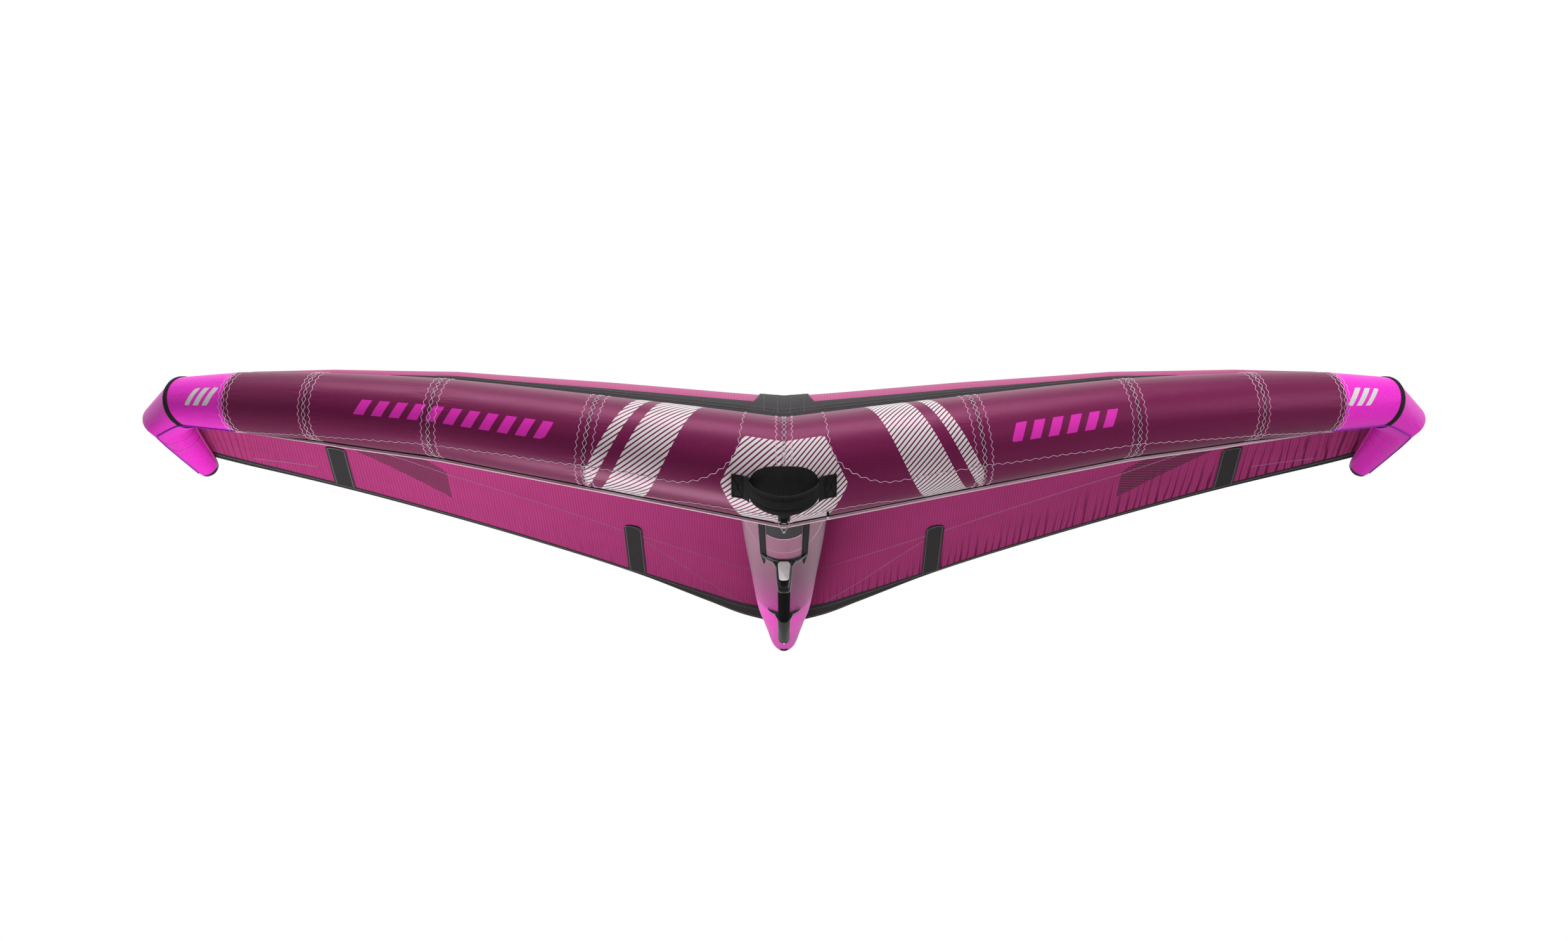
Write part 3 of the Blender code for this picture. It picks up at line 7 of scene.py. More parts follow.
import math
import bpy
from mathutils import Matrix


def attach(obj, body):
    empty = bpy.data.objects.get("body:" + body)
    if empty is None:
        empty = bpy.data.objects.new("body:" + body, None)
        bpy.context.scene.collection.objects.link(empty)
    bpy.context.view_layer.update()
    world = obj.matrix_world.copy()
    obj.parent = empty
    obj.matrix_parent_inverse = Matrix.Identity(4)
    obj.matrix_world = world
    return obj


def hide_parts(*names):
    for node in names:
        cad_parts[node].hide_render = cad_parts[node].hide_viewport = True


bl_info = {
    "name": "Inflatable Hand Wing",
    "version": (1, 0, 0),
    "blender": (4, 5, 0),
    "location": "3D View > Sidebar > Hand Wing",
    "description": "Builds the cloth, padding, webbing and fittings of an inflatable hand wing on its frame",
    "category": "Object",
}

import bpy
from mathutils import Matrix, Vector

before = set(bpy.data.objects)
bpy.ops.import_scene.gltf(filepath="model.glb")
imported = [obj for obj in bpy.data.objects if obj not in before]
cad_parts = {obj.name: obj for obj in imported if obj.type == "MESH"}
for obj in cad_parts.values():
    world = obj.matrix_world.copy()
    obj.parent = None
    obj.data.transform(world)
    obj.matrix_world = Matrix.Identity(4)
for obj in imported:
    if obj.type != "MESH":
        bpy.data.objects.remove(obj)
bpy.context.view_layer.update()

# The camera that was matched to the photograph looks up at the nose
CAMERA_DISTANCE = 5.4
CAMERA_TILT = math.radians(15.3)
CAMERA_LENS = 50
CAMERA_SENSOR = 36
FLOOR_HEIGHT = -1.5

# The wing's own frame has the middle of its nose at the origin; this puts it where the part has it
CARRIER = Vector((0, -0.7275, 0.181556))

# Leading edge, as in the part: seams of the tapered tube from the nose to the end of the tip
HALF_SPAN = 1.585
TIP_SWEEP = 0.31
TIP_RISE = 0.273
NOSE_RADIUS = 0.1305
SEAM_SPAN_SHARES = (0, 0.298, 0.547, 0.7515, 0.8915, 1)
SEAM_SWEEP_SHARES = (0, 0.10, 0.26, 0.45, 0.71, 1)
SEAM_RISE_SHARES = (0, 0.315, 0.59, 0.765, 0.895, 1)
SEAM_RADIUS_SHARES = (1, 0.875, 0.762, 0.662, 0.6, 0.505)
ELBOW = Vector((0.08, 0.11, -0.016))
TIP_END = Vector((0.013, 0.35, -0.093))
ELBOW_RADIUS = 0.057
END_RADIUS = 0.028
TIP_CAP_LENGTH = 0.026
BEND = 5
END = 7
WELT_TURN = math.radians(292.5)
ATTACH_TURN = math.radians(78.75)
TUBE_CLOTH = 0.001
SEAM_DIP = 0.0014
SEAM_DIP_REACH = 0.008
PANEL_SWELL = 0.0012
ELBOW_BAND_WIDTH = 0.022
# Rows of stitches lie this far over the cloth
STITCH_PROUD = 0.0004
LONG_ZIGZAG_STEP = 0.0096
LONG_ZIGZAG_WIDTH = 0.0026

# Prints of the leading edge, by span and height over its front: bands as middle and half width, then
# the panel under the handle, and rows of bars as start, end, lower edge, upper edge and step
PRINT_SLANT = 0.35
PRINT_EDGE = 0.05
BANDS = ((0.318, 0.052), (0.418, 0.016))
PANEL_WIDTH = 0.152
PANEL_HEIGHT = 0.132
BARS = {
    "left": (0.555, 1.06, -0.052, 0.002, 0.046),
    "right": (0.56, 0.835, -0.055, 0.0, 0.046),
    "tip": (1.438, 1.506, -0.058, 0.026, 0.027),
}

# Valve and hose
VALVE_SPAN = 0.245
VALVE_TURN = math.radians(-22)
VALVE_HOLE = 0.026
HOSE_SPAN = 0.19
HOSE_TURN = math.radians(22)
HOSE_PLACE = 0.30
HOSE_LEAN = math.radians(12)
HOSE_REACH = 0.075
HOSE_RADIUS = 0.007
PORT_RADIUS = 0.013
PORT_DEPTH = 0.006

# Strut
STRUT_LENGTH = 2.27
STRUT_RADIUS = 0.118
STRUT_PLACE_SHARES = (0, 0.214, 0.482, 0.60, 0.692, 0.77, 0.851, 0.945, 0.975, 0.991, 1)
STRUT_RADIUS_SHARES = (1, 0.963, 0.827, 0.767, 0.705, 0.605, 0.50, 0.39, 0.33, 0.21, 0.05)
STRUT_GIRTH_SHARE = 0.77
# Straps under its front: turns in degrees, then where they narrow and end
STRAP_TURN = 29
STRAP_HALF = 4.6
STRAP_NARROWS = 0.50
STRAP_END = 0.60
STRUT_PANEL_HALF = math.radians(23.2)
TAIL_TAB = (2.155, 2.262)
TAIL_RING = 2.226

# Boom
FRONT_FOOT_PLACE = 0.515
REAR_FOOT_PLACE = 1.315
FRONT_BAR_HEIGHT = -0.1872
REAR_BAR_HEIGHT = -0.1673
BAR_END = 1.345
# The feet's saddle wings reach this far round the strut, with the feet's tops this far below it
FOOT_HALF_TURN = math.radians(31)
FOOT_WING_LENGTH = 0.044
FOOT_DROP = 0.0035
LEG_SQUARENESS = 0.62

# Canopy
CENTRE_CHORD = 2.20
TRAILING_SPAN = 1.578
TRAILING_SPAN_SHARES = (0, 0.08, 0.158, 0.317, 0.475, 0.634, 0.792, 0.951, 1)
TRAILING_PLACE_SHARES = (1, 0.938, 0.875, 0.743, 0.616, 0.502, 0.403, 0.318, 0.294)
TRAILING_RISE = 0.212
TRAILING_RISE_SHARES = (0.25, 0.27, 0.36, 0.552, 0.665, 0.773, 0.88, 0.975, 1)
CAMBER_SHARE = 0.09
PEAK_SHARE = 0.30
NOSE_POWER = 0.65
CLOTH = 0.0015
GAP = 0.0004
HEM_WIDTH = 0.022
HEM_CENTRE_WIDTH = 0.13
HEM_CENTRE_SHARE = 0.315
CANOPY_WIDTH = 3.25
# Outer prints: ends along the span, then middle, half height and slant along the chord, all as shares
OUTER_PRINT_ENDS = (0.62, 0.77)
OUTER_PRINT_PLACE = 0.72
OUTER_PRINT_HALF = 0.075
OUTER_PRINT_SLANT = 1.1
# Batten pockets: span shares of the sides, chord shares of the front end's corners and of its middle
POCKETS = (("inner", (0.281, 0.315), (0.765, 0.775), 0.77), ("outer", (0.784, 0.817), (0.705, 0.70), 0.702))

# Front handle and what is sewn beside it
ANCHOR_ANGLE = math.radians(-40)
ANCHOR_INNER = 0.0865
ANCHOR_WIDTH = 0.042
ANCHOR_HEIGHT = 0.062
HANDLE_STANDOFF = 0.006
HANDLE_REACH = 0.066
HANDLE_WIDTH = 0.052
HANDLE_THICKNESS = 0.013
HANDLE_END_WIDTH = 0.038
HANDLE_END_THICKNESS = 0.005
HANDLE_SQUARE = 0.62
# Sewn grooves across the pad: place over the half width, depth and width
HANDLE_GROOVES = ((-0.36, 0.30, 0.09), (0.62, 0.20, 0.06), (0.12, 0.07, 0.12))
HANDLE_SEAMS = (-0.36, 0.62)

# Leash tab, its cord loop and the pull tab beside it
LEASH_ANGLE = math.radians(-80)
LEASH_TAB_WIDTH = 0.017
LEASH_HALF_WIDTH = 0.0125
LEASH_DROP = 0.027
LEASH_CORD_RADIUS = 0.00125
LEASH_KNOT_RADIUS = 0.0034
PULL_TAB_PLACE = 0.108
PULL_TAB_WIDTH = 0.006
PULL_TAB_LENGTH = 0.022


def linear(hex_colour):
    """An sRGB hex colour as the linear RGBA that Blender's sockets take."""
    channels = [int(hex_colour[i : i + 2], 16) / 255 for i in (1, 3, 5)]
    return (*(c / 12.92 if c <= 0.04045 else ((c + 0.055) / 1.055) ** 2.4 for c in channels), 1.0)


def toned(colour, share, lift=0):
    """A darker or lighter tone of a linear colour."""
    return (*(min(1, c * share + lift) for c in colour[:3]), 1)


def length_property(name, description, default):
    return bpy.props.FloatProperty(name=name, description=description, default=default, min=0, unit="LENGTH")


def colour_property(name, description, hex_colour):
    return bpy.props.FloatVectorProperty(
        name=name, description=description, default=linear(hex_colour), size=4, min=0, max=1, subtype="COLOR"
    )


class WingSizes(bpy.types.PropertyGroup):
    """Sizes of the sewing, the weave and the prints."""

    thread_radius: length_property("Thread radius", "Half the thickness of the sewing thread", 0.0008)
    zigzag_pitch: length_property("Zigzag pitch", "Length of one zigzag stitch round the tube", 0.0195)
    zigzag_width: length_property("Zigzag width", "Half the width of a zigzag stitch", 0.0027)
    seam_spread: length_property("Seam spread", "From a tube seam to its outer rows of stitches", 0.0205)
    stitch_length: length_property("Stitch length", "Length of one straight stitch", 0.006)
    ripstop_pitch: length_property("Ripstop pitch", "Distance between the canopy's heavier threads", 0.008)
    weave_pitch: length_property(
        "Weave pitch", "Distance between the drawn threads of the tube's cloth", 0.0022
    )
    hatch_pitch: length_property("Hatch pitch", "Distance between the printed diagonal stripes", 0.0105)
    hatch_share: bpy.props.FloatProperty(
        name="Hatch share", description="Printed part of the diagonal hatch", default=0.64, min=0, max=1,
        subtype="FACTOR",
    )
    welt_radius: length_property("Welt radius", "Half the thickness of the piping below the tube", 0.0031)


class WingColours(bpy.types.PropertyGroup):
    """Colours of the cloths, prints and fittings."""

    plum: colour_property("Tube cloth", "Coated polyester of the leading edge", "#5a0b38")
    pink: colour_property("Tip cloth", "Coated polyester of the two tips and the strut's tail", "#de22b6")
    canopy: colour_property("Canopy cloth", "Ripstop of the canopy", "#a03a70")
    mauve: colour_property("Strut cloth", "Coated polyester of the strut's front", "#86586e")
    print_grey: colour_property("Print", "Pale ink of the hatched panels", "#c5c4c3")
    thread: colour_property("Thread", "Pale sewing thread", "#cba9bd")
    black_cloth: colour_property("Black cloth", "Woven reinforcement, hems and pockets", "#302e30")
    webbing: colour_property("Webbing", "Webbing of the handle and its anchors", "#161516")
    welt: colour_property("Welt", "Folded seam tape below the tube", "#dfc3cf")
    violet: colour_property("Tip piping", "Piping round the tips", "#8a22b4")
    cover: colour_property("Leg cover", "Light cover on the front leg", "#dcdbda")
    floor: colour_property("Floor", "Plain floor under the wing", "#e9e9e9")


# -------------------- shapes


def between(value, places, results):
    """Smooth reading of a table: a cubic that never overshoots its points."""
    count = len(places)
    if value <= places[0]:
        return results[0]
    if value >= places[-1]:
        return results[-1]
    i = next(k for k in range(count - 1) if value <= places[k + 1])

    def slope(k):
        return (results[k + 1] - results[k]) / (places[k + 1] - places[k])

    def tangent(k):
        if k in (0, count - 1):
            return slope(0 if k == 0 else count - 2)
        before, after = slope(k - 1), slope(k)
        return 0 if before * after <= 0 else 2 * before * after / (before + after)

    width = places[i + 1] - places[i]
    t = (value - places[i]) / width
    first, second = tangent(i) * width, tangent(i + 1) * width
    rise = results[i + 1] - results[i]
    return results[i] + t * (first + t * (3 * rise - 2 * first - second + t * (first + second - 2 * rise)))


def part_way(first, last, share):
    return first + (last - first) * share


def shares(count):
    """Even steps from 0 to 1."""
    return [i / count for i in range(count + 1)]


def sway(i, width):
    """Every other point of a stitched row to one side, the rest to the other."""
    return width if i % 2 else -width


def squared(value, power):
    """A sine or cosine drawn towards a rounded square for powers below 1."""
    return math.copysign(abs(value) ** power, value)


def run_length(points):
    return sum((b - a).length for a, b in zip(points, points[1:]))


def mirrored(point, side):
    return Vector((point[0] * side, point[1], point[2]))


class Tube:
    """The right-hand half of the leading edge: seam centres, radii and each panel's section axes."""

    def __init__(self):
        self.centres = [
            Vector((HALF_SPAN * s, TIP_SWEEP * w, TIP_RISE * r))
            for s, w, r in zip(SEAM_SPAN_SHARES, SEAM_SWEEP_SHARES, SEAM_RISE_SHARES)
        ]
        self.radii = [NOSE_RADIUS * share for share in SEAM_RADIUS_SHARES]
        bend = self.centres[-1]
        self.centres += [bend + ELBOW, bend + TIP_END]
        self.radii += [ELBOW_RADIUS, END_RADIUS]
        self.ways = [(b - a).normalized() for a, b in zip(self.centres, self.centres[1:])]
        self.lengths = [(b - a).length for a, b in zip(self.centres, self.centres[1:])]
        steps = zip(self.radii, self.radii[1:], self.lengths)
        self.tapers = [(after - before) / length for before, after, length in steps]
        up = Vector((0, 0, 1))
        up = (up - self.ways[0] * up.dot(self.ways[0])).normalized()
        back = up.cross(self.ways[0])
        self.backs, self.ups = [back], [up]
        for before, after in zip(self.ways, self.ways[1:]):
            turn = before.rotation_difference(after)
            back, up = turn @ back, turn @ up
            self.backs.append(back)
            self.ups.append(up)

    def plane(self, seam):
        if seam == 0:
            return Vector((1, 0, 0))
        if seam == len(self.centres) - 1:
            return self.ways[-1]
        return (self.ways[seam - 1] + self.ways[seam]).normalized()

    def girth(self, panel):
        """Flat width of a panel's cloth, round its middle."""
        return math.pi * (self.radii[panel] + self.radii[panel + 1])

    def out(self, panel, turn):
        return self.backs[panel] * math.cos(turn) + self.ups[panel] * math.sin(turn)

    def point(self, seam, panel, turn, proud=0, slide=0):
        """A point on a seam seen from one of its panels, at an angle from the back towards the top."""
        way, normal = self.ways[panel], self.plane(seam)
        arm = self.out(panel, turn) * (self.radii[seam] + proud + self.tapers[panel] * slide)
        arm -= way * (arm.dot(normal) / way.dot(normal))
        return self.centres[seam] + arm + way * slide

    def on_panel(self, panel, share, turn, proud=0):
        """A point on a panel, share of the way from its inner seam to its outer one."""
        slide = -TIP_CAP_LENGTH if panel == END - 1 else 0
        first = self.point(panel, panel, turn, proud)
        return first.lerp(self.point(panel + 1, panel, turn, proud, slide), share)

    def at_span(self, span, turn, proud=0):
        """A point on the tube at a distance from the middle of the wing, up to the elbow."""
        places = [c.x for c in self.centres[: BEND + 1]]
        panel = next(i for i in range(BEND) if span <= places[i + 1] or i == BEND - 1)
        share = (span - places[panel]) / (places[panel + 1] - places[panel])
        return self.on_panel(panel, share, turn, proud)

    def height_over_first(self, point):
        """How far a point is outside the panel beside the nose, on either side."""
        point = Vector((abs(point.x), point.y, point.z))
        near = point.dot(self.plane(0))
        far = (self.centres[1] - point).dot(self.plane(1))
        radius = self.radii[0] + (self.radii[1] - self.radii[0]) * near / (near + far)
        return (point - self.ways[0] * point.dot(self.ways[0])).length - radius

    def cast(self, start, way, proud):
        """From inside the tube, the point this far outside its surface in one direction."""
        near, far = 0, 3 * NOSE_RADIUS
        for _ in range(26):
            middle = (near + far) / 2
            if self.height_over_first(start + way * middle) < proud:
                near = middle
            else:
                far = middle
        return start + way * near


TUBE = Tube()


def nose_point(x, angle, proud):
    """A point over the nose; the angle is from straight ahead, up being positive."""
    centre = TUBE.centres[1] * (abs(x) / TUBE.centres[1].x)
    return TUBE.cast(Vector((x, centre.y, centre.z)), Vector((0, -math.cos(angle), math.sin(angle))), proud)


def strut_radius(place):
    return STRUT_RADIUS * between(place / STRUT_LENGTH, STRUT_PLACE_SHARES, STRUT_RADIUS_SHARES)


def on_strut(turn, place, proud):
    """A point over the strut; the turn is from straight down towards the right."""
    radius = strut_radius(place) + proud
    return Vector((radius * math.sin(turn), place, -radius * math.cos(turn)))


def trailing_point(share):
    place = CENTRE_CHORD * between(share, TRAILING_SPAN_SHARES, TRAILING_PLACE_SHARES)
    rise = TRAILING_RISE * between(share, TRAILING_SPAN_SHARES, TRAILING_RISE_SHARES)
    return Vector((TRAILING_SPAN * share, place, rise))


def camber_shape(share):
    if share <= 0 or share >= 1:
        return 0
    tail_power = NOSE_POWER * (1 - PEAK_SHARE) / PEAK_SHARE
    return (share / PEAK_SHARE) ** NOSE_POWER * ((1 - share) / (1 - PEAK_SHARE)) ** tail_power


ATTACH_PROUD = CLOTH + 0.0027


def tip_edge(share):
    """The canopy's outer edge, along the top of the tip from the elbow to the cap."""
    points = [
        TUBE.point(BEND, BEND, ATTACH_TURN, ATTACH_PROUD),
        TUBE.point(BEND + 1, BEND, ATTACH_TURN, ATTACH_PROUD),
        TUBE.point(END, END - 1, ATTACH_TURN, ATTACH_PROUD, -TIP_CAP_LENGTH),
    ]
    knee = (points[1] - points[0]).length
    whole = knee + (points[2] - points[1]).length
    if share <= knee / whole:
        return points[0].lerp(points[1], share * whole / knee)
    return points[1].lerp(points[2], (share - knee / whole) * whole / (whole - knee))


def on_canopy(span_share, chord_share, drop=0):
    """A point of the canopy's upper face, or below it, on either half: the span share is signed."""
    side = -1 if span_share < 0 else 1
    span_share = min(abs(span_share), 1)
    edge = tip_edge(chord_share)
    front = TUBE.at_span(HALF_SPAN * span_share, ATTACH_TURN, ATTACH_PROUD)
    back = trailing_point(span_share)
    point = front.lerp(back, chord_share)
    point.z += CAMBER_SHARE * (back - front).length * camber_shape(chord_share)
    # The outermost strip turns smoothly into the edge that is sewn to the tip
    near_tip = max(0, (span_share - 0.95) / 0.05)
    point = point.lerp(edge, near_tip)
    point.z -= drop
    return mirrored(point, side)


def chord_length(span_share):
    front = on_canopy(span_share, 0)
    return (on_canopy(span_share, 1) - front).length


def hem_share(span_share):
    """Where the hem starts on a section, as a share of the chord."""
    near_centre = max(0, 1 - abs(span_share) / HEM_CENTRE_SHARE)
    return 1 - (HEM_WIDTH + HEM_CENTRE_WIDTH * near_centre) / chord_length(span_share)


# -------------------- modelling tools


def deselect():
    if bpy.context.object and bpy.context.object.mode != "OBJECT":
        bpy.ops.object.mode_set(mode="OBJECT")
    bpy.ops.object.select_all(action="DESELECT")


def pick(piece):
    deselect()
    piece.select_set(True)
    bpy.context.view_layer.objects.active = piece
    return piece


def named(piece, name):
    piece.name = name
    piece.data.name = name
    return piece


def context_object(name):
    made = bpy.context.object
    made.name = name
    return made


def settle(piece):
    """Puts the object at the origin, unturned and unscaled, with its place in its mesh."""
    pick(piece)
    bpy.ops.object.transform_apply(location=True, rotation=True, scale=True)
    return piece


def apply_modifier(piece, kind, **settings):
    pick(piece)
    bpy.ops.object.modifier_add(type=kind)
    modifier = piece.modifiers[-1]
    for name, value in settings.items():
        setattr(modifier, name, value)
    bpy.ops.object.modifier_apply(modifier=modifier.name)
    return piece


def laid_cloth(
    name, columns, rows, place, flat, thickness=0, towards=None, wrapped=False, marks=None, warp=None,
    smooth=50,
):
    """A grid primitive whose points are moved onto a surface, with a UV map in metres.

    place(a, b) takes shares along the grid's two sides, after warp(a, b) has spaced its lines. A wrapped
    grid closes on itself. Its outer face looks towards the given way, and marks are functions of a and b
    that are kept as attributes for the material.
    """
    deselect()
    bpy.ops.mesh.primitive_grid_add(x_subdivisions=columns, y_subdivisions=rows, size=1)
    piece = named(bpy.context.object, name)
    mesh = piece.data
    warp = warp or (lambda a, b: (a, b))
    uvs = mesh.uv_layers[0]
    uvs.name = "cloth"
    for corner in uvs.data:
        a, b = warp(*corner.uv)
        corner.uv = (a * flat[0], b * flat[1])
    places = [warp(vert.co.x + 0.5, vert.co.y + 0.5) for vert in mesh.vertices]
    for mark, value in (marks or {}).items():
        kept = mesh.attributes.new(mark, "FLOAT", "POINT")
        kept.data.foreach_set("value", [value(a, b) for a, b in places])
    for vert, (a, b) in zip(mesh.vertices, places):
        vert.co = place(a, b) + CARRIER
    mesh.update()
    bpy.ops.object.mode_set(mode="EDIT")
    bpy.ops.mesh.select_all(action="SELECT")
    bpy.ops.mesh.remove_doubles(threshold=0.00002)
    if wrapped:
        bpy.ops.mesh.normals_make_consistent(inside=False)
    bpy.ops.object.mode_set(mode="OBJECT")
    face = mesh.polygons[len(mesh.polygons) // 2]
    if towards and face.normal.dot(Vector(towards)) < 0:
        bpy.ops.object.mode_set(mode="EDIT")
        bpy.ops.mesh.select_all(action="SELECT")
        bpy.ops.mesh.flip_normals()
        bpy.ops.object.mode_set(mode="OBJECT")
    if thickness:
        apply_modifier(piece, "SOLIDIFY", thickness=thickness, offset=-1)
    pick(piece)
    bpy.ops.object.shade_smooth_by_angle(angle=math.radians(smooth))
    return piece


def pierced(piece):
    """Cuts the round hole that the valve's body fills."""
    deselect()
    bpy.ops.mesh.primitive_cylinder_add(
        vertices=64, radius=VALVE_HOLE, depth=0.05, location=TUBE.at_span(VALVE_SPAN, VALVE_TURN) + CARRIER,
        rotation=TUBE.out(0, VALVE_TURN).to_track_quat("Z", "X").to_euler(),
    )
    cutter = bpy.context.object
    apply_modifier(piece, "BOOLEAN", object=cutter, operation="DIFFERENCE", solver="EXACT")
    pick(cutter)
    bpy.ops.object.delete()
    return pick(piece)


def round_curve(name, lines, radius, resolution):
    """A curve object with an open spline along each line of points, as thick as its thread or cord."""
    curve = bpy.data.curves.new(name, "CURVE")
    curve.dimensions = "3D"
    curve.bevel_depth = radius
    curve.bevel_resolution = resolution
    curve.use_fill_caps = True
    for line in lines:
        spline = curve.splines.new("POLY")
        spline.points.add(len(line) - 1)
        for point, target in zip(spline.points, line):
            point.co = (*(target + CARRIER), 1)
    piece = bpy.data.objects.new(name, curve)
    bpy.context.collection.objects.link(piece)
    return piece


def thread_piece(name, lines, radius, finish, body="wing"):
    """Sewing thread along many lines, one thin tube each, as one mesh."""
    pick(round_curve(name, lines, radius, 0))
    bpy.ops.object.convert(target="MESH")
    piece = named(bpy.context.object, name)
    bpy.ops.object.shade_smooth()
    return dressed(piece, finish, body)


def dressed(piece, finish, body="wing", replaces=()):
    """Gives a finished piece its material by name, its body and the nodes that it stands for."""
    piece.data.materials.clear()
    piece.data.materials.append(material(finish))
    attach(piece, body)
    if replaces:
        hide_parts(*replaces)
    return piece


def refinish(node_name, finish):
    """Gives a node that the frame carries over its material."""
    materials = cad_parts[node_name].data.materials
    materials.clear()
    materials.append(material(finish))


def zigzag(length, at):
    """The corner points of a zigzag stitch; at(distance, aside) gives the places beside its line."""
    count = max(2, round(length / (sizes().zigzag_pitch / 2)))
    return [at(length * i / count, sway(i, sizes().zigzag_width)) for i in range(count + 1)]


# -------------------- materials


def node(tree, kind, inputs=None, **settings):
    """Adds a shader node: settings by name, inputs as values, sockets or whole nodes (their first output)."""
    made = tree.nodes.new("ShaderNode" + kind)
    for name, value in settings.items():
        setattr(made, name, value)
    for key, value in (inputs or {}).items():
        if isinstance(value, bpy.types.Node):
            value = next(output for output in value.outputs if output.enabled)
        if isinstance(value, bpy.types.NodeSocket):
            tree.links.new(value, made.inputs[key])
        else:
            made.inputs[key].default_value = value
    return made


def start_material(name, **constants):
    """A new Principled material with constants set on its own sockets; returns it, its tree and shader."""
    material = bpy.data.materials.new(name)
    material.use_nodes = True
    tree = material.node_tree
    shader = tree.nodes["Principled BSDF"]
    for key, value in constants.items():
        shader.inputs[key.replace("_", " ").title().replace("Ior", "IOR")].default_value = value
    return material, tree, shader


def colours():
    return bpy.context.scene.wing_colours


def sizes():
    return bpy.context.scene.wing_sizes


MATERIALS = {}


def material(name):
    """Makes a material the first time that it is asked for."""
    if name not in MATERIALS:
        MATERIALS[name] = MAKERS[name](name)
    return MATERIALS[name]


def cloth_base(tree, pucker):
    """UV in metres, distance from the seam, noise of the folds, and the normal of weave and puckers."""
    uv = node(tree, "UVMap", uv_map="cloth").outputs["UV"]
    scaled = node(
        tree, "VectorMath", {0: uv, 1: (2 * math.pi / sizes().weave_pitch,) * 3}, operation="MULTIPLY"
    )
    split = node(tree, "SeparateXYZ", {0: scaled})
    warp = node(tree, "Math", {0: split.outputs["X"]}, operation="SINE").outputs[0]
    weft = node(tree, "Math", {0: split.outputs["Y"]}, operation="SINE").outputs[0]
    threads = node(tree, "Math", {0: warp, 1: weft}, operation="MULTIPLY").outputs[0]
    stretched = node(tree, "VectorMath", {0: uv, 1: (9, 95, 1)}, operation="MULTIPLY")
    folds = node(tree, "TexNoise", {"Vector": stretched, "Scale": 1, "Detail": 2})
    seam = node(tree, "Attribute", attribute_name="seam").outputs["Fac"]
    near = node(
        tree, "MapRange", {"Value": seam, "From Min": 0, "From Max": 0.075, "To Min": 1, "To Max": 0.06}
    )
    puckers = node(tree, "Math", {0: folds, 1: near}, operation="MULTIPLY")
    first = node(tree, "Bump", {"Height": threads, "Strength": 0.25, "Distance": 0.0002})
    second = node(tree, "Bump", {"Height": puckers, "Strength": pucker, "Distance": 0.004, "Normal": first})
    return uv, seam, folds, second.outputs[0]


def sailcloth(name, colour, ink, inked_share=0.58):
    """Coated woven polyester: a satin film over the weave, a soft broad gloss and puckers at the seams."""
    made, tree, shader = start_material(
        name, roughness=0.36, ior=1.45, specular_ior_level=0.42, specular_tint=linear("#ff9bce")
    )
    uv, seam, folds, normal = cloth_base(tree, 0.55)
    shade = node(tree, "TexNoise", {"Vector": uv, "Scale": 130, "Detail": 5, "Roughness": 0.9})
    lighter = toned(colour, 1.6, 0.003)
    mottled = node(tree, "Mix", {0: shade, 6: toned(colour, 0.45), 7: lighter}, data_type="RGBA")
    # Dark tape that shows between the crossing stitches of each seam
    taped = node(
        tree, "MapRange", {"Value": seam, "From Min": 0.0032, "From Max": 0.0044, "To Min": 1, "To Max": 0}
    )
    tape = toned(colour, 0.35, 0.012)
    ground = node(tree, "Mix", {0: taped, 6: mottled, 7: tape}, data_type="RGBA")
    # Printed bars or stripes, inside the places that the pieces mark
    step = node(tree, "Attribute", attribute_name="mark_step").outputs["Fac"]
    phase = node(tree, "Math", {0: step}, operation="FRACT")
    bar = node(tree, "Math", {0: phase, 1: inked_share}, operation="LESS_THAN")
    field = node(tree, "Attribute", attribute_name="mark").outputs["Fac"]
    inside = node(tree, "Math", {0: field, 1: 0.5}, operation="GREATER_THAN")
    inked = node(tree, "Math", {0: bar, 1: inside}, operation="MULTIPLY")
    shown = node(tree, "Mix", {0: inked, 6: ground, 7: ink}, data_type="RGBA")
    tree.links.new(shown.outputs[2], shader.inputs["Base Color"])
    rough = node(tree, "MapRange", {"Value": folds, "To Min": 0.32, "To Max": 0.44})
    tree.links.new(rough.outputs[0], shader.inputs["Roughness"])
    tree.links.new(normal, shader.inputs["Normal"])
    return made


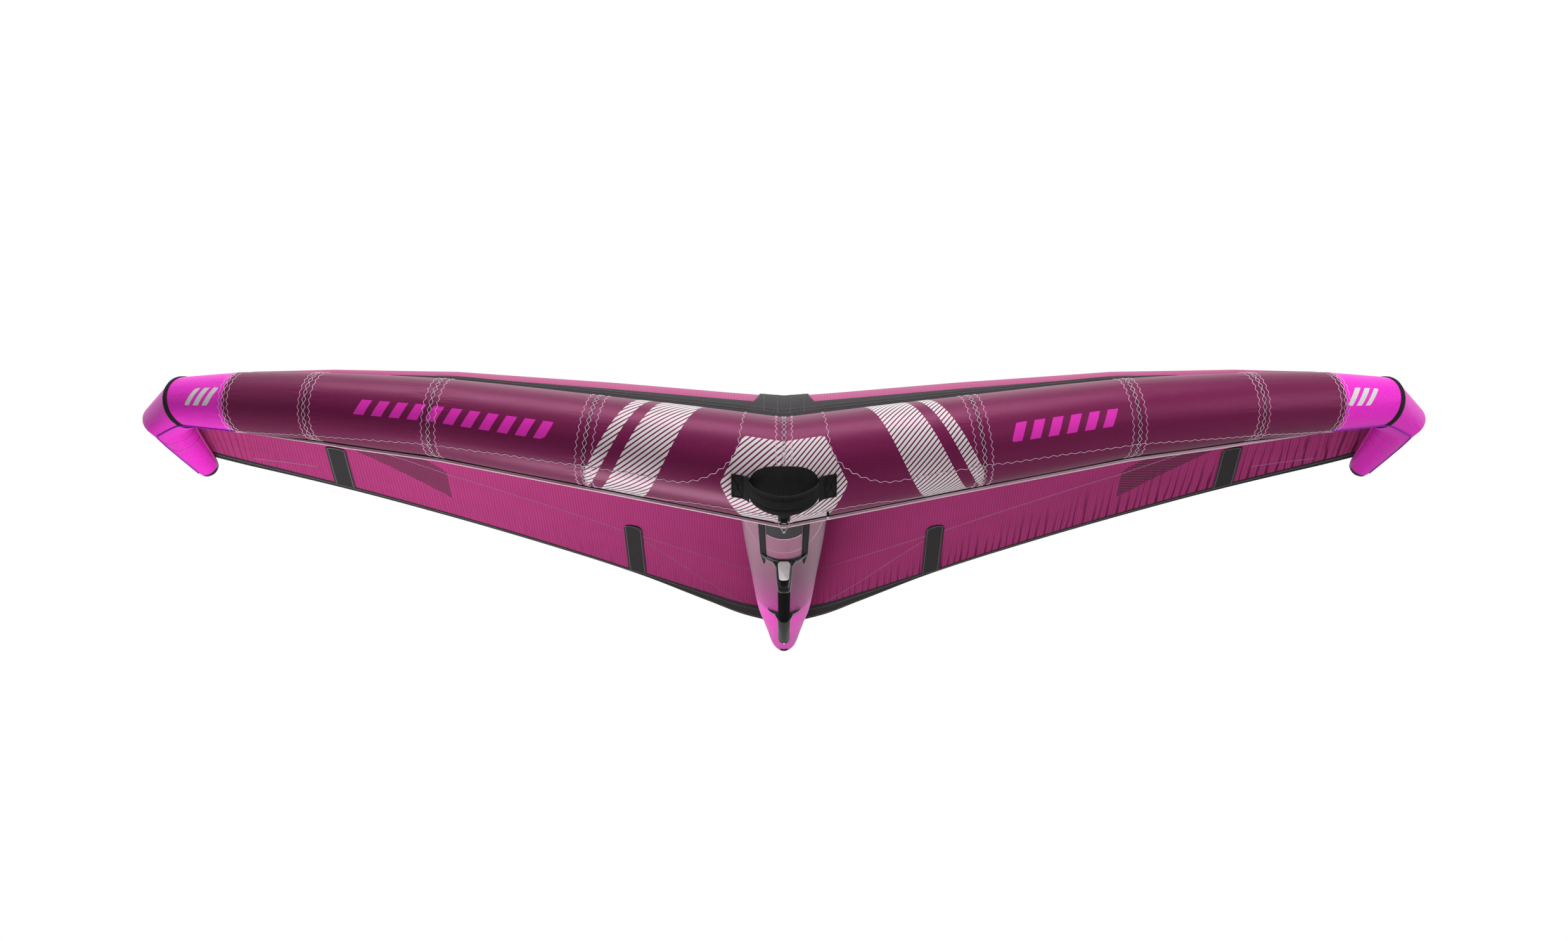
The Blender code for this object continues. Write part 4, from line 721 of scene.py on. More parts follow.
def ripstop(name):
    """Thin coated ripstop: a fine grid of heavier threads, soft folds, puckers beside the hem and painted
    shade of folds there.
    """
    made, tree, shader = start_material(name, roughness=0.5, ior=1.42, specular_ior_level=0.005)
    colour = tuple(colours().canopy)
    uv = node(tree, "UVMap", uv_map="cloth").outputs["UV"]
    scaled = node(tree, "VectorMath", {0: uv, 1: (1 / sizes().ripstop_pitch,) * 3}, operation="MULTIPLY")
    cell = node(tree, "VectorMath", {0: scaled}, operation="FRACTION")
    split = node(tree, "SeparateXYZ", {0: cell})
    upright = node(tree, "Math", {0: split.outputs["X"], 1: 0.2}, operation="LESS_THAN")
    level = node(tree, "Math", {0: split.outputs["Y"], 1: 0.14}, operation="LESS_THAN")
    softer = node(tree, "Math", {0: level, 1: 0.35}, operation="MULTIPLY")
    grid = node(tree, "Math", {0: upright, 1: softer}, operation="MAXIMUM")
    blotch = node(tree, "TexNoise", {"Vector": uv, "Scale": 5, "Detail": 5})
    tones = {6: toned(colour, 0.86), 7: toned(colour, 1.10)}
    ground = node(tree, "Mix", {0: blotch, **tones}, data_type="RGBA")
    faint = node(tree, "Math", {0: grid, 1: 0.7}, operation="MULTIPLY")
    lined = node(tree, "Mix", {0: faint, 6: ground, 7: toned(colour, 0.50)}, data_type="RGBA")
    # Fine dark diagonal stripes of the outer print
    inner = node(tree, "SeparateXYZ", {0: uv})
    turned = node(tree, "Math", {0: inner.outputs["X"], 1: inner.outputs["Y"]}, operation="SUBTRACT")
    fine = node(tree, "Math", {0: turned, 1: 1 / 0.021}, operation="MULTIPLY")
    phase = node(tree, "Math", {0: fine}, operation="FRACT")
    stripe = node(tree, "Math", {0: phase, 1: 0.6}, operation="LESS_THAN")
    field = node(tree, "Attribute", attribute_name="print").outputs["Fac"]
    inside = node(tree, "Math", {0: field, 1: 0.5}, operation="GREATER_THAN")
    inked = node(tree, "Math", {0: stripe, 1: inside}, operation="MULTIPLY")
    half_inked = node(tree, "Math", {0: inked, 1: 0.92}, operation="MULTIPLY")
    printed = node(tree, "Mix", {0: half_inked, 6: lined, 7: tuple(colours().black_cloth)}, data_type="RGBA")
    # The coated upper side is glossier than the bare lower one
    faces = node(tree, "SeparateXYZ", {0: node(tree, "TexCoord").outputs["Normal"]})
    coated = node(
        tree, "MapRange",
        {"Value": faces.outputs["Z"], "From Min": 0, "From Max": 0.2, "To Min": 0.005, "To Max": 0.22},
    )
    tree.links.new(coated.outputs[0], shader.inputs["Specular IOR Level"])
    # Painted shade of folds: dark lines run up from the hem every 22 mm and die out, painted deeper on the
    # right-hand half, where the shade is deeper
    across = node(tree, "VectorMath", {0: uv, 1: (1, 0.04, 0)}, operation="MULTIPLY")
    wander = node(tree, "TexNoise", {"Vector": across, "Scale": 16, "Detail": 3})
    row = node(tree, "Math", {0: inner.outputs["X"], 1: 2 * math.pi / 0.022}, operation="MULTIPLY")
    bent = node(tree, "Math", {0: wander, 1: 14, 2: row}, operation="MULTIPLY_ADD")
    wave = node(tree, "Math", {0: bent}, operation="SINE")
    fold_shade = node(tree, "MapRange", {"Value": wave, "From Min": 0.55, "From Max": 1.0})
    # Painted shade: the fold lines are painted darker on the right-hand half
    right = node(tree, "SeparateXYZ", {0: node(tree, "TexCoord").outputs["Object"]})
    right_half_shade = node(
        tree, "MapRange",
        {"Value": right.outputs["X"], "From Min": -0.2, "From Max": 0.5, "To Min": 0.1, "To Max": 1},
    )
    reach = node(tree, "Math", {0: wander, 1: 0.42}, operation="MULTIPLY")
    hem = node(tree, "Attribute", attribute_name="hem").outputs["Fac"]
    fading = node(
        tree, "MapRange", {"Value": hem, "From Min": 0.03, "From Max": reach, "To Min": 1, "To Max": 0}
    )
    hem_fold_shade = node(tree, "Math", {0: fold_shade, 1: fading}, operation="MULTIPLY")
    shaded = node(tree, "Math", {0: hem_fold_shade, 1: right_half_shade}, operation="MULTIPLY")
    final = node(tree, "Mix", {0: shaded, 6: printed, 7: toned(colour, 0.28)}, data_type="RGBA")
    tree.links.new(final.outputs[2], shader.inputs["Base Color"])
    stretched = node(tree, "VectorMath", {0: uv, 1: (62, 5, 1)}, operation="MULTIPLY")
    comb = node(tree, "TexNoise", {"Vector": stretched, "Scale": 1, "Detail": 1.5})
    near = node(
        tree, "MapRange", {"Value": hem, "From Min": 0, "From Max": 0.16, "To Min": 1, "To Max": 0.02}
    )
    puckers = node(tree, "Math", {0: comb, 1: near}, operation="MULTIPLY")
    broad = node(tree, "TexNoise", {"Vector": uv, "Scale": 2.4, "Detail": 2})
    first = node(tree, "Bump", {"Height": grid, "Strength": 0.25, "Distance": 0.0003})
    second = node(tree, "Bump", {"Height": puckers, "Strength": 0.9, "Distance": 0.012, "Normal": first})
    third = node(tree, "Bump", {"Height": broad, "Strength": 0.5, "Distance": 0.02, "Normal": second})
    tree.links.new(third.outputs[0], shader.inputs["Normal"])
    return made


def woven_black(name, colour, pitch, roughness, depth=0.0004):
    """Woven polyester band: matt black yarns in close ribs, with a little grey highlight painted on their
    crests.
    """
    made, tree, shader = start_material(name, roughness=roughness, ior=1.45, specular_ior_level=0.2)
    uv = node(tree, "UVMap", uv_map="cloth").outputs["UV"]
    scaled = node(tree, "VectorMath", {0: uv, 1: (2 * math.pi / pitch,) * 3}, operation="MULTIPLY")
    split = node(tree, "SeparateXYZ", {0: scaled})
    across = node(tree, "Math", {0: split.outputs["X"]}, operation="SINE")
    twill = node(tree, "Math", {0: split.outputs["X"], 1: split.outputs["Y"]}, operation="ADD")
    slant = node(tree, "Math", {0: twill}, operation="SINE")
    ribs = node(tree, "Math", {0: across, 1: slant}, operation="ADD")
    dust = node(tree, "TexNoise", {"Vector": uv, "Scale": 160, "Detail": 3})
    # Painted highlight on the crests of the ribs and painted shade between them, broken up by noise
    shade = node(tree, "MapRange", {"Value": ribs, "From Min": -2, "From Max": 2, "To Min": 0, "To Max": 0.7})
    mixed = node(tree, "Math", {0: shade, 1: dust}, operation="MULTIPLY")
    tones = {6: toned(colour, 0.6), 7: toned(colour, 1.9, 0.004)}
    shown = node(tree, "Mix", {0: mixed, **tones}, data_type="RGBA")
    tree.links.new(shown.outputs[2], shader.inputs["Base Color"])
    bump = node(tree, "Bump", {"Height": ribs, "Strength": 0.5, "Distance": depth})
    tree.links.new(bump.outputs[0], shader.inputs["Normal"])
    return made


def strut_cloth(name):
    """Coated polyester of the strut: mauve ahead, then printed pink rings that widen, a hot-pink tail."""
    made, tree, shader = start_material(
        name, roughness=0.4, ior=1.45, specular_ior_level=0.2, specular_tint=linear("#ffcfe6")
    )
    uv, _, _, normal = cloth_base(tree, 0.3)
    place = node(tree, "SeparateXYZ", {0: uv}).outputs["X"]
    # The strut's pink is the tip cloth's pink painted 1.35 times lighter, a painted highlight that makes up
    # for the weaker light on its tail
    mauve, pink = tuple(colours().mauve), toned(colours().pink, 1.35, 0.01)
    deep = (mauve[0] * 0.5, mauve[1] * 0.33, mauve[2] * 0.42, 1)
    behind = node(tree, "MapRange", {"Value": place, "From Min": 0.35, "From Max": 1.1})
    ground = node(tree, "Mix", {0: behind, 6: mauve, 7: deep}, data_type="RGBA")
    doubled = node(tree, "Attribute", attribute_name="print").outputs["Fac"]
    layer = node(
        tree, "MapRange", {"Value": doubled, "From Min": 0.49, "From Max": 0.51, "To Min": 0, "To Max": 0.8}
    )
    ground = node(tree, "Mix", {0: layer, 6: ground, 7: toned(mauve, 1.7, 0.05)}, data_type="RGBA")
    # Rings 24 mm apart: the pink share of each grows until only pink is left
    rings = node(tree, "Math", {0: place, 1: 1 / 0.024}, operation="MULTIPLY")
    phase = node(tree, "Math", {0: rings}, operation="FRACT")
    share = node(
        tree, "MapRange", {"Value": place, "From Min": 0.52, "From Max": 1.28, "To Min": 0.0, "To Max": 0.5}
    )
    ring = node(tree, "Math", {0: phase, 1: share}, operation="LESS_THAN")
    tail = node(tree, "Math", {0: place, 1: 1.29}, operation="GREATER_THAN")
    inked = node(tree, "Math", {0: ring, 1: tail}, operation="MAXIMUM")
    fresher = node(
        tree, "MapRange", {"Value": place, "From Min": 0.55, "From Max": 1.2, "To Min": 0.2, "To Max": 0.9}
    )
    strength = node(tree, "Math", {0: inked, 1: fresher}, operation="MULTIPLY")
    shown = node(tree, "Mix", {0: strength, 6: ground, 7: pink}, data_type="RGBA")
    # A thin dark line closes each ring
    line = node(tree, "Math", {0: phase, 1: 0.8}, operation="GREATER_THAN")
    depth = node(
        tree, "MapRange", {"Value": place, "From Min": 0.42, "From Max": 0.75, "To Min": 0, "To Max": 0.6}
    )
    lined = node(tree, "Math", {0: line, 1: depth}, operation="MULTIPLY")
    ahead = node(tree, "Math", {0: place, 1: 1.27}, operation="LESS_THAN")
    dark = node(tree, "Math", {0: lined, 1: ahead}, operation="MULTIPLY")
    shown = node(tree, "Mix", {0: dark, 6: shown, 7: tuple(colours().plum)}, data_type="RGBA")
    shade = node(tree, "TexNoise", {"Vector": uv, "Scale": 130, "Detail": 5, "Roughness": 0.9})
    mottle = node(tree, "MapRange", {"Value": shade, "To Min": 0.5, "To Max": 1.5})
    final = node(tree, "VectorMath", {0: shown, "Scale": mottle}, operation="SCALE")
    tree.links.new(final.outputs[0], shader.inputs["Base Color"])
    tree.links.new(normal, shader.inputs["Normal"])
    return made


def moulded(name, colour, roughness, grain, strength, **constants):
    """A moulded or foamed surface: one colour with a fine grain in its height, colour and gloss."""
    made, tree, shader = start_material(name, roughness=roughness, **constants)
    place = node(tree, "TexCoord").outputs["Object"]
    speck = node(tree, "TexNoise", {"Vector": place, "Scale": grain, "Detail": 3})
    broad = node(tree, "TexNoise", {"Vector": place, "Scale": 30, "Detail": 3})
    tones = {6: toned(colour, 0.85), 7: toned(colour, 1.15, 0.003)}
    shown = node(tree, "Mix", {0: broad, **tones}, data_type="RGBA")
    tree.links.new(shown.outputs[2], shader.inputs["Base Color"])
    limits = {"To Min": roughness * 0.8, "To Max": min(1, roughness * 1.2)}
    gloss = node(tree, "MapRange", {"Value": speck, **limits})
    tree.links.new(gloss.outputs[0], shader.inputs["Roughness"])
    bump = node(tree, "Bump", {"Height": speck, "Strength": strength, "Distance": 0.0004})
    tree.links.new(bump.outputs[0], shader.inputs["Normal"])
    return made


def floor_paint(name):
    """Plain pale matt paint that fades to white far off to the camera, and is clear from below."""
    made, tree, shader = start_material(name, roughness=0.85, emission_color=(1, 1, 1, 1))
    place = node(tree, "TexCoord").outputs["Object"]
    cloud = node(tree, "TexNoise", {"Vector": place, "Scale": 2, "Detail": 3})
    pale = tuple(colours().floor)
    shown = node(tree, "Mix", {0: cloud, 6: pale, 7: toned(pale, 1.03)}, data_type="RGBA")
    tree.links.new(shown.outputs[2], shader.inputs["Base Color"])
    seen = node(tree, "LightPath").outputs["Is Camera Ray"]
    reach = node(tree, "VectorMath", {0: place}, operation="LENGTH")
    far = node(
        tree, "MapRange",
        {"Value": reach, "From Min": 3, "From Max": 16, "To Min": 0.3, "To Max": 0.95},
    )
    lift = node(tree, "Math", {0: seen, 1: far}, operation="MULTIPLY")
    tree.links.new(lift.outputs[0], shader.inputs["Emission Strength"])
    under = node(tree, "NewGeometry").outputs["Backfacing"]
    below = node(tree, "Math", {0: under, 1: seen}, operation="MULTIPLY")
    clear = node(tree, "BsdfTransparent")
    mix = node(tree, "MixShader", {0: below, 1: shader, 2: clear})
    tree.links.new(mix.outputs[0], tree.nodes["Material Output"].inputs["Surface"])
    return made


def seam_tape(name):
    """Folded tape sewn below the tube: its foot painted nearly black as the shade of its crevice, pale and
    slightly creased outside, with painted shade in the creases' hollows.
    """
    made, tree, shader = start_material(name, roughness=0.5, ior=1.45, specular_ior_level=0.2)
    uv = node(tree, "UVMap", uv_map="cloth").outputs["UV"]
    height = node(tree, "Attribute", attribute_name="seam").outputs["Fac"]
    # Painted shade: the tape's foot, in the crevice under the tube, is painted nearly black
    outside = node(
        tree, "MapRange", {"Value": height, "From Min": 0.0052, "From Max": 0.0064, "To Min": 0, "To Max": 1}
    )
    creases = node(tree, "TexNoise", {"Vector": uv, "Scale": 120, "Detail": 4, "Roughness": 0.8})
    pale = tuple(colours().welt)
    # Painted shade: the low parts of the crease bump are painted darker
    tape = node(tree, "Mix", {0: creases, 6: toned(pale, 0.62), 7: pale}, data_type="RGBA")
    shown = node(tree, "Mix", {0: outside, 6: toned(colours().plum, 0.12), 7: tape}, data_type="RGBA")
    tree.links.new(shown.outputs[2], shader.inputs["Base Color"])
    bump = node(tree, "Bump", {"Height": creases, "Strength": 0.5, "Distance": 0.0008})
    tree.links.new(bump.outputs[0], shader.inputs["Normal"])
    return made


MAKERS = {
    # Coated sailcloth of the tube, bare or printed, and of the tips: satin, with fine puckers at its seams
    "coated_polyester_plum": lambda name: sailcloth(name, tuple(colours().plum), linear("#cc2aa5")),
    "coated_polyester_printed": lambda name: sailcloth(
        name, tuple(colours().plum), tuple(colours().print_grey), sizes().hatch_share
    ),
    "coated_polyester_pink": lambda name: sailcloth(name, tuple(colours().pink), tuple(colours().print_grey)),
    "coated_polyester_strut": strut_cloth,
    # Ripstop of the canopy, coated on its upper side only, which is the one that shines
    "ripstop_nylon_canopy": ripstop,
    # Plain-woven reinforcement, its yarns drawn 5 mm apart so that the ribs still show
    "woven_polyester_hem": lambda name: woven_black(name, tuple(colours().black_cloth), 0.005, 0.7),
    # Close-woven strap webbing, its yarns drawn 3 mm apart
    "woven_webbing": lambda name: woven_black(name, tuple(colours().webbing), 0.003, 0.75),
    # Knitted neoprene cover of the handle: soft, matt and slightly ribbed
    "knitted_neoprene": lambda name: woven_black(name, linear("#191819"), 0.0048, 0.85, 0.002),
    "folded_seam_tape": seam_tape,
    # Woven cover of a thin cord core, its yarns drawn 4 mm apart
    "violet_piping": lambda name: woven_black(name, tuple(colours().violet), 0.004, 0.5, 0.0002),
    # Continuous-filament sewing threads: slightly glossy, the black ones matt
    "polyester_thread": lambda name: moulded(name, tuple(colours().thread), 0.5, 900, 0.2),
    "dark_thread": lambda name: moulded(name, linear("#565153"), 0.5, 900, 0.2),
    "grey_thread": lambda name: moulded(name, linear("#8a8788"), 0.5, 900, 0.2),
    "black_thread": lambda name: moulded(name, linear("#101010"), 0.9, 900, 0.2, specular_ior_level=0.1),
    "magenta_thread": lambda name: moulded(name, linear("#a8688d"), 0.5, 900, 0.2),
    # Glass-filled nylon from a textured mould: black with a satin, slightly uneven gloss
    "moulded_nylon": lambda name: moulded(
        name, linear("#070708"), 0.2, 700, 0.1, ior=1.53, specular_ior_level=0.34
    ),
    # Closed-cell EVA foam, ground round: dead matt with open pores
    "ground_eva_foam": lambda name: moulded(name, linear("#040404"), 0.95, 420, 0.7, specular_ior_level=0.02),
    # Hard-anodised tube at the boom's tail: dark grey, finely matt
    "anodised_aluminium": lambda name: moulded(
        name, linear("#19191a"), 0.5, 1500, 0.1, specular_ior_level=0.2
    ),
    # Light ABS cover, moulded with a fine spark texture
    "moulded_abs": lambda name: moulded(
        name, tuple(colours().cover), 0.42, 800, 0.2, ior=1.53, specular_ior_level=0.3
    ),
    # Soft thermoplastic of the valve, nearly black, smooth and waxy
    "moulded_tpu": lambda name: moulded(name, linear("#1a1a1c"), 0.3, 300, 0.15, ior=1.5),
    # Turned stainless steel of the screw: bright, with a fine grain
    "stainless_steel": lambda name: moulded(name, linear("#b8b8b6"), 0.28, 1200, 0.08, metallic=1.0),
    # Blown polyurethane film, milky and waxy
    "bladder_film": lambda name: moulded(name, linear("#c9cbc4"), 0.35, 60, 0.25, ior=1.5),
    # Extruded vinyl hose: smooth, half glossy grey
    "extruded_hose": lambda name: moulded(name, linear("#8e8f8c"), 0.3, 200, 0.12, ior=1.5),
    # Pultruded glass-fibre rod: pale, resin-glossy
    "pultruded_glass": lambda name: moulded(name, linear("#c4c3ae"), 0.3, 500, 0.15, ior=1.5),
    # Braided polyester cord: matt and bumpy
    "braided_cord": lambda name: moulded(name, linear("#a8a7a8"), 0.6, 1600, 0.9),
    # Coated label tape: plain and matt
    "white_label": lambda name: moulded(name, linear("#e4e2e0"), 0.6, 900, 0.3),
    "floor_paint": floor_paint,
}

# -------------------- the pieces

SIDES = ((-1, "left"), (1, "right"))


def seam_distance(length):
    """Distance to the nearer end of a panel, for a share along it."""
    return lambda a, b: min(a, 1 - a) * length


def seam_dip(share, length):
    """How far the cloth dips beside the seams at a panel's ends."""
    return SEAM_DIP * math.exp(-((min(share, 1 - share) * length / SEAM_DIP_REACH) ** 2))


def closer_at_ends(a, b):
    """Spaces a grid's lines closer together towards both ends of a panel."""
    return a - 0.11 * math.sin(2 * math.pi * a), b


def print_field(length):
    """Above one half inside the printed bands and the panel under the handle, on the first panel."""

    def field(a, b):
        height = (math.pi - 2 * math.pi * b) * NOSE_RADIUS
        span = a * length
        slanted = span + PRINT_SLANT * height
        bands = [half - abs(slanted - middle) for middle, half in BANDS]
        below = height - ANCHOR_ANGLE * NOSE_RADIUS
        panel = min(PANEL_WIDTH - span - 0.40 * abs(below), PANEL_HEIGHT - abs(below))
        on_front = 0.27 - abs(height + 0.03)
        return 0.5 + min(max(*bands, panel), on_front) / PRINT_EDGE

    return field


def bar_fields(panel, side):
    """Where a row of plain slanted bars is printed, and how far along that row each point is."""
    first, last, low, high, step = BARS["tip" if panel == BEND - 1 else "right" if side > 0 else "left"]

    def slanted(a, b):
        height = (math.pi - 2 * math.pi * b) * NOSE_RADIUS
        span = part_way(TUBE.centres[panel].x, TUBE.centres[panel + 1].x, a)
        return span - side * PRINT_SLANT * height, height

    def inside(a, b):
        span, height = slanted(a, b)
        return 0.5 + min(span - first, last - span, height - low, high - height) / PRINT_EDGE

    return inside, lambda a, b: (slanted(a, b)[0] - first) / step


class WING_OT_leading_edge(bpy.types.Operator):
    """Sews the tapered plum panels of the leading edge, each a cone with a dip at its seams"""

    bl_idname = "hand_wing.leading_edge"
    bl_label = "Leading Edge"

    def execute(self, context):
        for side, word in SIDES:
            for panel in range(BEND - 1):
                self.sew(side, word, panel)
        return {"FINISHED"}

    def sew(self, side, word, panel):
        length = TUBE.lengths[panel]
        girth = TUBE.girth(panel)

        def place(a, b):
            proud = PANEL_SWELL * math.sin(math.pi * a) - seam_dip(a, length)
            return mirrored(TUBE.on_panel(panel, a, 2 * math.pi * b, proud), side)

        marks = {"seam": seam_distance(length)}
        cloth = "coated_polyester_plum"
        if panel == 0:
            marks["mark"] = print_field(length)
            pitch = sizes().hatch_pitch * math.sqrt(2)
            marks["mark_step"] = lambda a, b: (side * a * length + b * girth) / pitch
            cloth = "coated_polyester_printed"
        if panel == 1 or (panel == 2 and side < 0):
            marks["mark"], marks["mark_step"] = bar_fields(panel, side)
        columns = (110, 44, 40, 34)[panel]
        piece = laid_cloth(
            f"tube_panel_{word}_{panel + 1}", columns, 112 if panel == 0 else 80, place, (length, girth),
            TUBE_CLOTH, None, True, marks, closer_at_ends,
        )
        if panel == 0 and side > 0:
            pierced(piece)
        dressed(piece, cloth, replaces=[f"le_panel_{word}_{panel + 1}"])


class WING_OT_tips(bpy.types.Operator):
    """Sews the pink tips: panel, elbow band, tapered end and its piping, and finishes the moulded caps"""

    bl_idname = "hand_wing.tips"
    bl_label = "Tips"

    def execute(self, context):
        for side, word in SIDES:
            self.panel(side, word)
            self.end(side, word)
            self.band(side, word)
            self.piping(side, word)
            refinish(f"tip_cap_{word}", "moulded_nylon")
        return {"FINISHED"}

    def panel(self, side, word):
        panel = BEND - 1
        length = TUBE.lengths[panel]
        girth = TUBE.girth(panel)

        def place(a, b):
            return mirrored(TUBE.on_panel(panel, a, 2 * math.pi * b, -seam_dip(a, length)), side)

        inside, step = bar_fields(panel, side)
        piece = laid_cloth(
            f"tip_cloth_{word}", 30, 80, place, (length, girth), TUBE_CLOTH, None, True,
            {"seam": seam_distance(length), "mark": inside, "mark_step": step}, closer_at_ends,
        )
        dressed(piece, "coated_polyester_pink", replaces=[f"tip_panel_{word}"])

    def end(self, side, word):
        first, second = TUBE.lengths[BEND], TUBE.lengths[BEND + 1] - TIP_CAP_LENGTH
        whole = first + second
        girth = math.pi * (TUBE.radii[BEND] + END_RADIUS)

        def place(a, b):
            turn, along = 2 * math.pi * b, a * whole
            if along <= first:
                point = TUBE.on_panel(BEND, along / first, turn)
            else:
                point = TUBE.on_panel(BEND + 1, (along - first) / second, turn)
            return mirrored(point, side)

        def seam(a, b):
            return min(a * whole, abs(a * whole - first) + 0.006)

        def knee_first(a, b):
            """Puts one grid line on the elbow's second seam."""
            knee, line = first / whole, 12 / 40
            return (a * knee / line if a <= line else knee + (a - line) * (1 - knee) / (1 - line)), b

        piece = laid_cloth(
            f"tip_end_cloth_{word}", 40, 72, place, (whole, girth), TUBE_CLOTH, None, True, {"seam": seam},
            knee_first,
        )
        dressed(piece, "coated_polyester_pink", replaces=[f"tip_end_{word}"])

    def band(self, side, word):
        def place(a, b):
            slide = (a - 0.5) * ELBOW_BAND_WIDTH
            panel = BEND - 1 if slide < 0 else BEND
            proud = 0.0022 - 0.0016 * abs(2 * a - 1) ** 4
            return mirrored(TUBE.point(BEND, panel, 2 * math.pi * b, proud, slide), side)

        piece = laid_cloth(f"elbow_band_{word}", 8, 80, place, (ELBOW_BAND_WIDTH, 0.41), 0.0014, None, True)
        dressed(piece, "woven_webbing", replaces=[f"bend_band_{word}"])

    def piping(self, side, word):
        stops = (
            (BEND - 1, 0.0, 270), (BEND - 1, 0.5, 268), (BEND - 1, 0.93, 266), (BEND, 0.12, 262),
            (BEND, 0.5, 256), (BEND, 0.97, 250), (BEND + 1, 0.06, 244), (BEND + 1, 0.3, 234),
            (BEND + 1, 0.6, 229), (BEND + 1, 0.97, 231),
        )
        line = [mirrored(TUBE.on_panel(p, s, math.radians(t), 0.0008), side) for p, s, t in stops]
        thread_piece(f"tip_piping_{word}", [line], 0.0024, "violet_piping")
        inner = [
            mirrored(TUBE.on_panel(p, s, math.radians(t), STITCH_PROUD), side)
            for p, s, t in ((BEND, 0.97, 20), (BEND + 1, 0.25, 3), (BEND + 1, 0.55, 2), (BEND + 1, 0.97, 1))
        ]

        def arc(share, turn):
            share += 0.03 * math.sin(2 * turn)
            return mirrored(TUBE.on_panel(BEND + 1, share, turn, STITCH_PROUD), side)

        arcs = [[arc(share, math.radians(t)) for t in range(232, 365, 7)] for share in (0.16, 0.34)]
        thread_piece(f"tip_seams_{word}", [inner] + arcs, 0.0009, "magenta_thread")


class WING_OT_tube_seams(bpy.types.Operator):
    """Stitches the leading edge: zigzags at each seam and along it, and the piping below it"""

    bl_idname = "hand_wing.tube_seams"
    bl_label = "Tube Seams"

    def execute(self, context):
        for side, word in SIDES:
            lines = []
            for seam in range(1, BEND):
                lines += self.round_seam(seam, side)
            lines += self.nose_rows(side)
            lines += self.long_rows(side)
            thread_piece(f"tube_threads_{word}", lines, sizes().thread_radius, "polyester_thread")
            self.welt(side, word)
        return {"FINISHED"}

    def round_seam(self, seam, side):
        lines = []
        spread = sizes().seam_spread * TUBE.radii[seam] / TUBE.radii[1]
        girth = 2 * math.pi * TUBE.radii[seam]
        for offset, reach in ((-spread, 0), (0, -1), (0, 1), (spread, 0)):

            def at(distance, aside):
                slide = offset + aside
                if reach:
                    slide = reach * (0.0031 + aside)
                panel = seam - 1 if slide < 0 else seam
                turn = distance / TUBE.radii[seam]
                return mirrored(TUBE.point(seam, panel, turn, STITCH_PROUD, slide), side)

            lines.append(zigzag(girth, at))
        return lines

    def nose_rows(self, side):
        """The crossing pair on the nose's middle seam, and the single row beside it."""
        lines = []
        girth = 2 * math.pi * NOSE_RADIUS
        for offset in (0.0031, 0.0195):

            def at(distance, aside):
                return mirrored(TUBE.point(0, 0, distance / NOSE_RADIUS, STITCH_PROUD, offset + aside), side)

            lines.append(zigzag(girth, at))
        return lines

    def long_rows(self, side):
        """The row along the tube's lower front, and the bell-shaped row round the nose's reinforcement."""
        bell = (
            (0, 0.205, 88), (0, 0.207, 104), (0, 0.211, 120), (0, 0.221, 147), (0, 0.227, 161),
            (0, 0.231, 173), (0, 0.239, 182), (0, 0.268, 193), (0, 0.308, 203), (0, 0.36, 212),
            (0, 0.42, 220), (0, 0.491, 226.5), (0, 0.548, 228.5), (0, 0.62, 228.5), (0, 0.744, 228),
            (0, 0.894, 229), (1, 0.051, 229.5), (1, 0.161, 231.5), (1, 0.475, 233), (1, 0.853, 238),
            (2, 0.205, 242), (2, 0.514, 246.5), (2, 0.954, 255.5), (3, 0.5, 262), (3, 0.98, 268),
        )
        low = (
            (0, 0.02, 257), (0, 0.265, 258), (0, 0.369, 259), (0, 0.464, 260), (0, 0.6, 268), (0, 0.99, 273)
        )
        return [self.swung(stops, side) for stops in (bell, low)]

    def swung(self, stops, side):
        """A zigzag along places given as panel, share along it and turn in degrees."""
        places = [(panel + share, math.radians(turn)) for panel, share, turn in stops]
        points = []
        for (first, turn), (second, next_turn) in zip(places, places[1:]):
            steps = max(1, round(self.length(first, turn, second, next_turn) / 0.004))
            points += [(part_way(first, second, t), part_way(turn, next_turn, t)) for t in shares(steps)[:-1]]
        made, walked, swing = [], 0, 1
        for before, after in zip(points, points[1:]):
            walked += self.length(*before, *after)
            if walked >= LONG_ZIGZAG_STEP:
                walked, swing = 0, -swing
                panel = min(int(after[0]), BEND - 2)
                radius = TUBE.radii[panel]
                way_across = Vector((after[0] - before[0], (after[1] - before[1]) * radius))
                way_across = Vector((-way_across.y, way_across.x)).normalized() * swing * LONG_ZIGZAG_WIDTH
                share = after[0] - panel + way_across.x / TUBE.lengths[panel]
                turn = after[1] + way_across.y / radius
                share = min(1, max(0, share))
                proud = 0.0005 + 0.0012 * math.sin(math.pi * share)
                made.append(mirrored(TUBE.on_panel(panel, share, turn, proud), side))
        return made

    def length(self, first, turn, second, next_turn):
        ends = []
        for place, angle in ((first, turn), (second, next_turn)):
            panel = min(int(place), BEND - 2)
            ends.append(TUBE.on_panel(panel, place - panel, angle))
        return (ends[1] - ends[0]).length

    def welt(self, side, word):
        """The folded tape below the tube: a foot painted dark as the shade of its crevice, then a pale piped
        edge.
        """
        bulb = sizes().welt_radius
        foot = ((0.0009, -0.001), (0.0009, 0.004), (0.0011, 0.0065), (0.0009, 0.009))
        turns = [math.radians(t) for t in range(-150, 151, 30)]
        profile = [(-aside, height) for aside, height in foot]
        profile += [(bulb * math.sin(t), 0.0106 - bulb * math.cos(t)) for t in turns] + list(foot[::-1])
        count = len(profile)

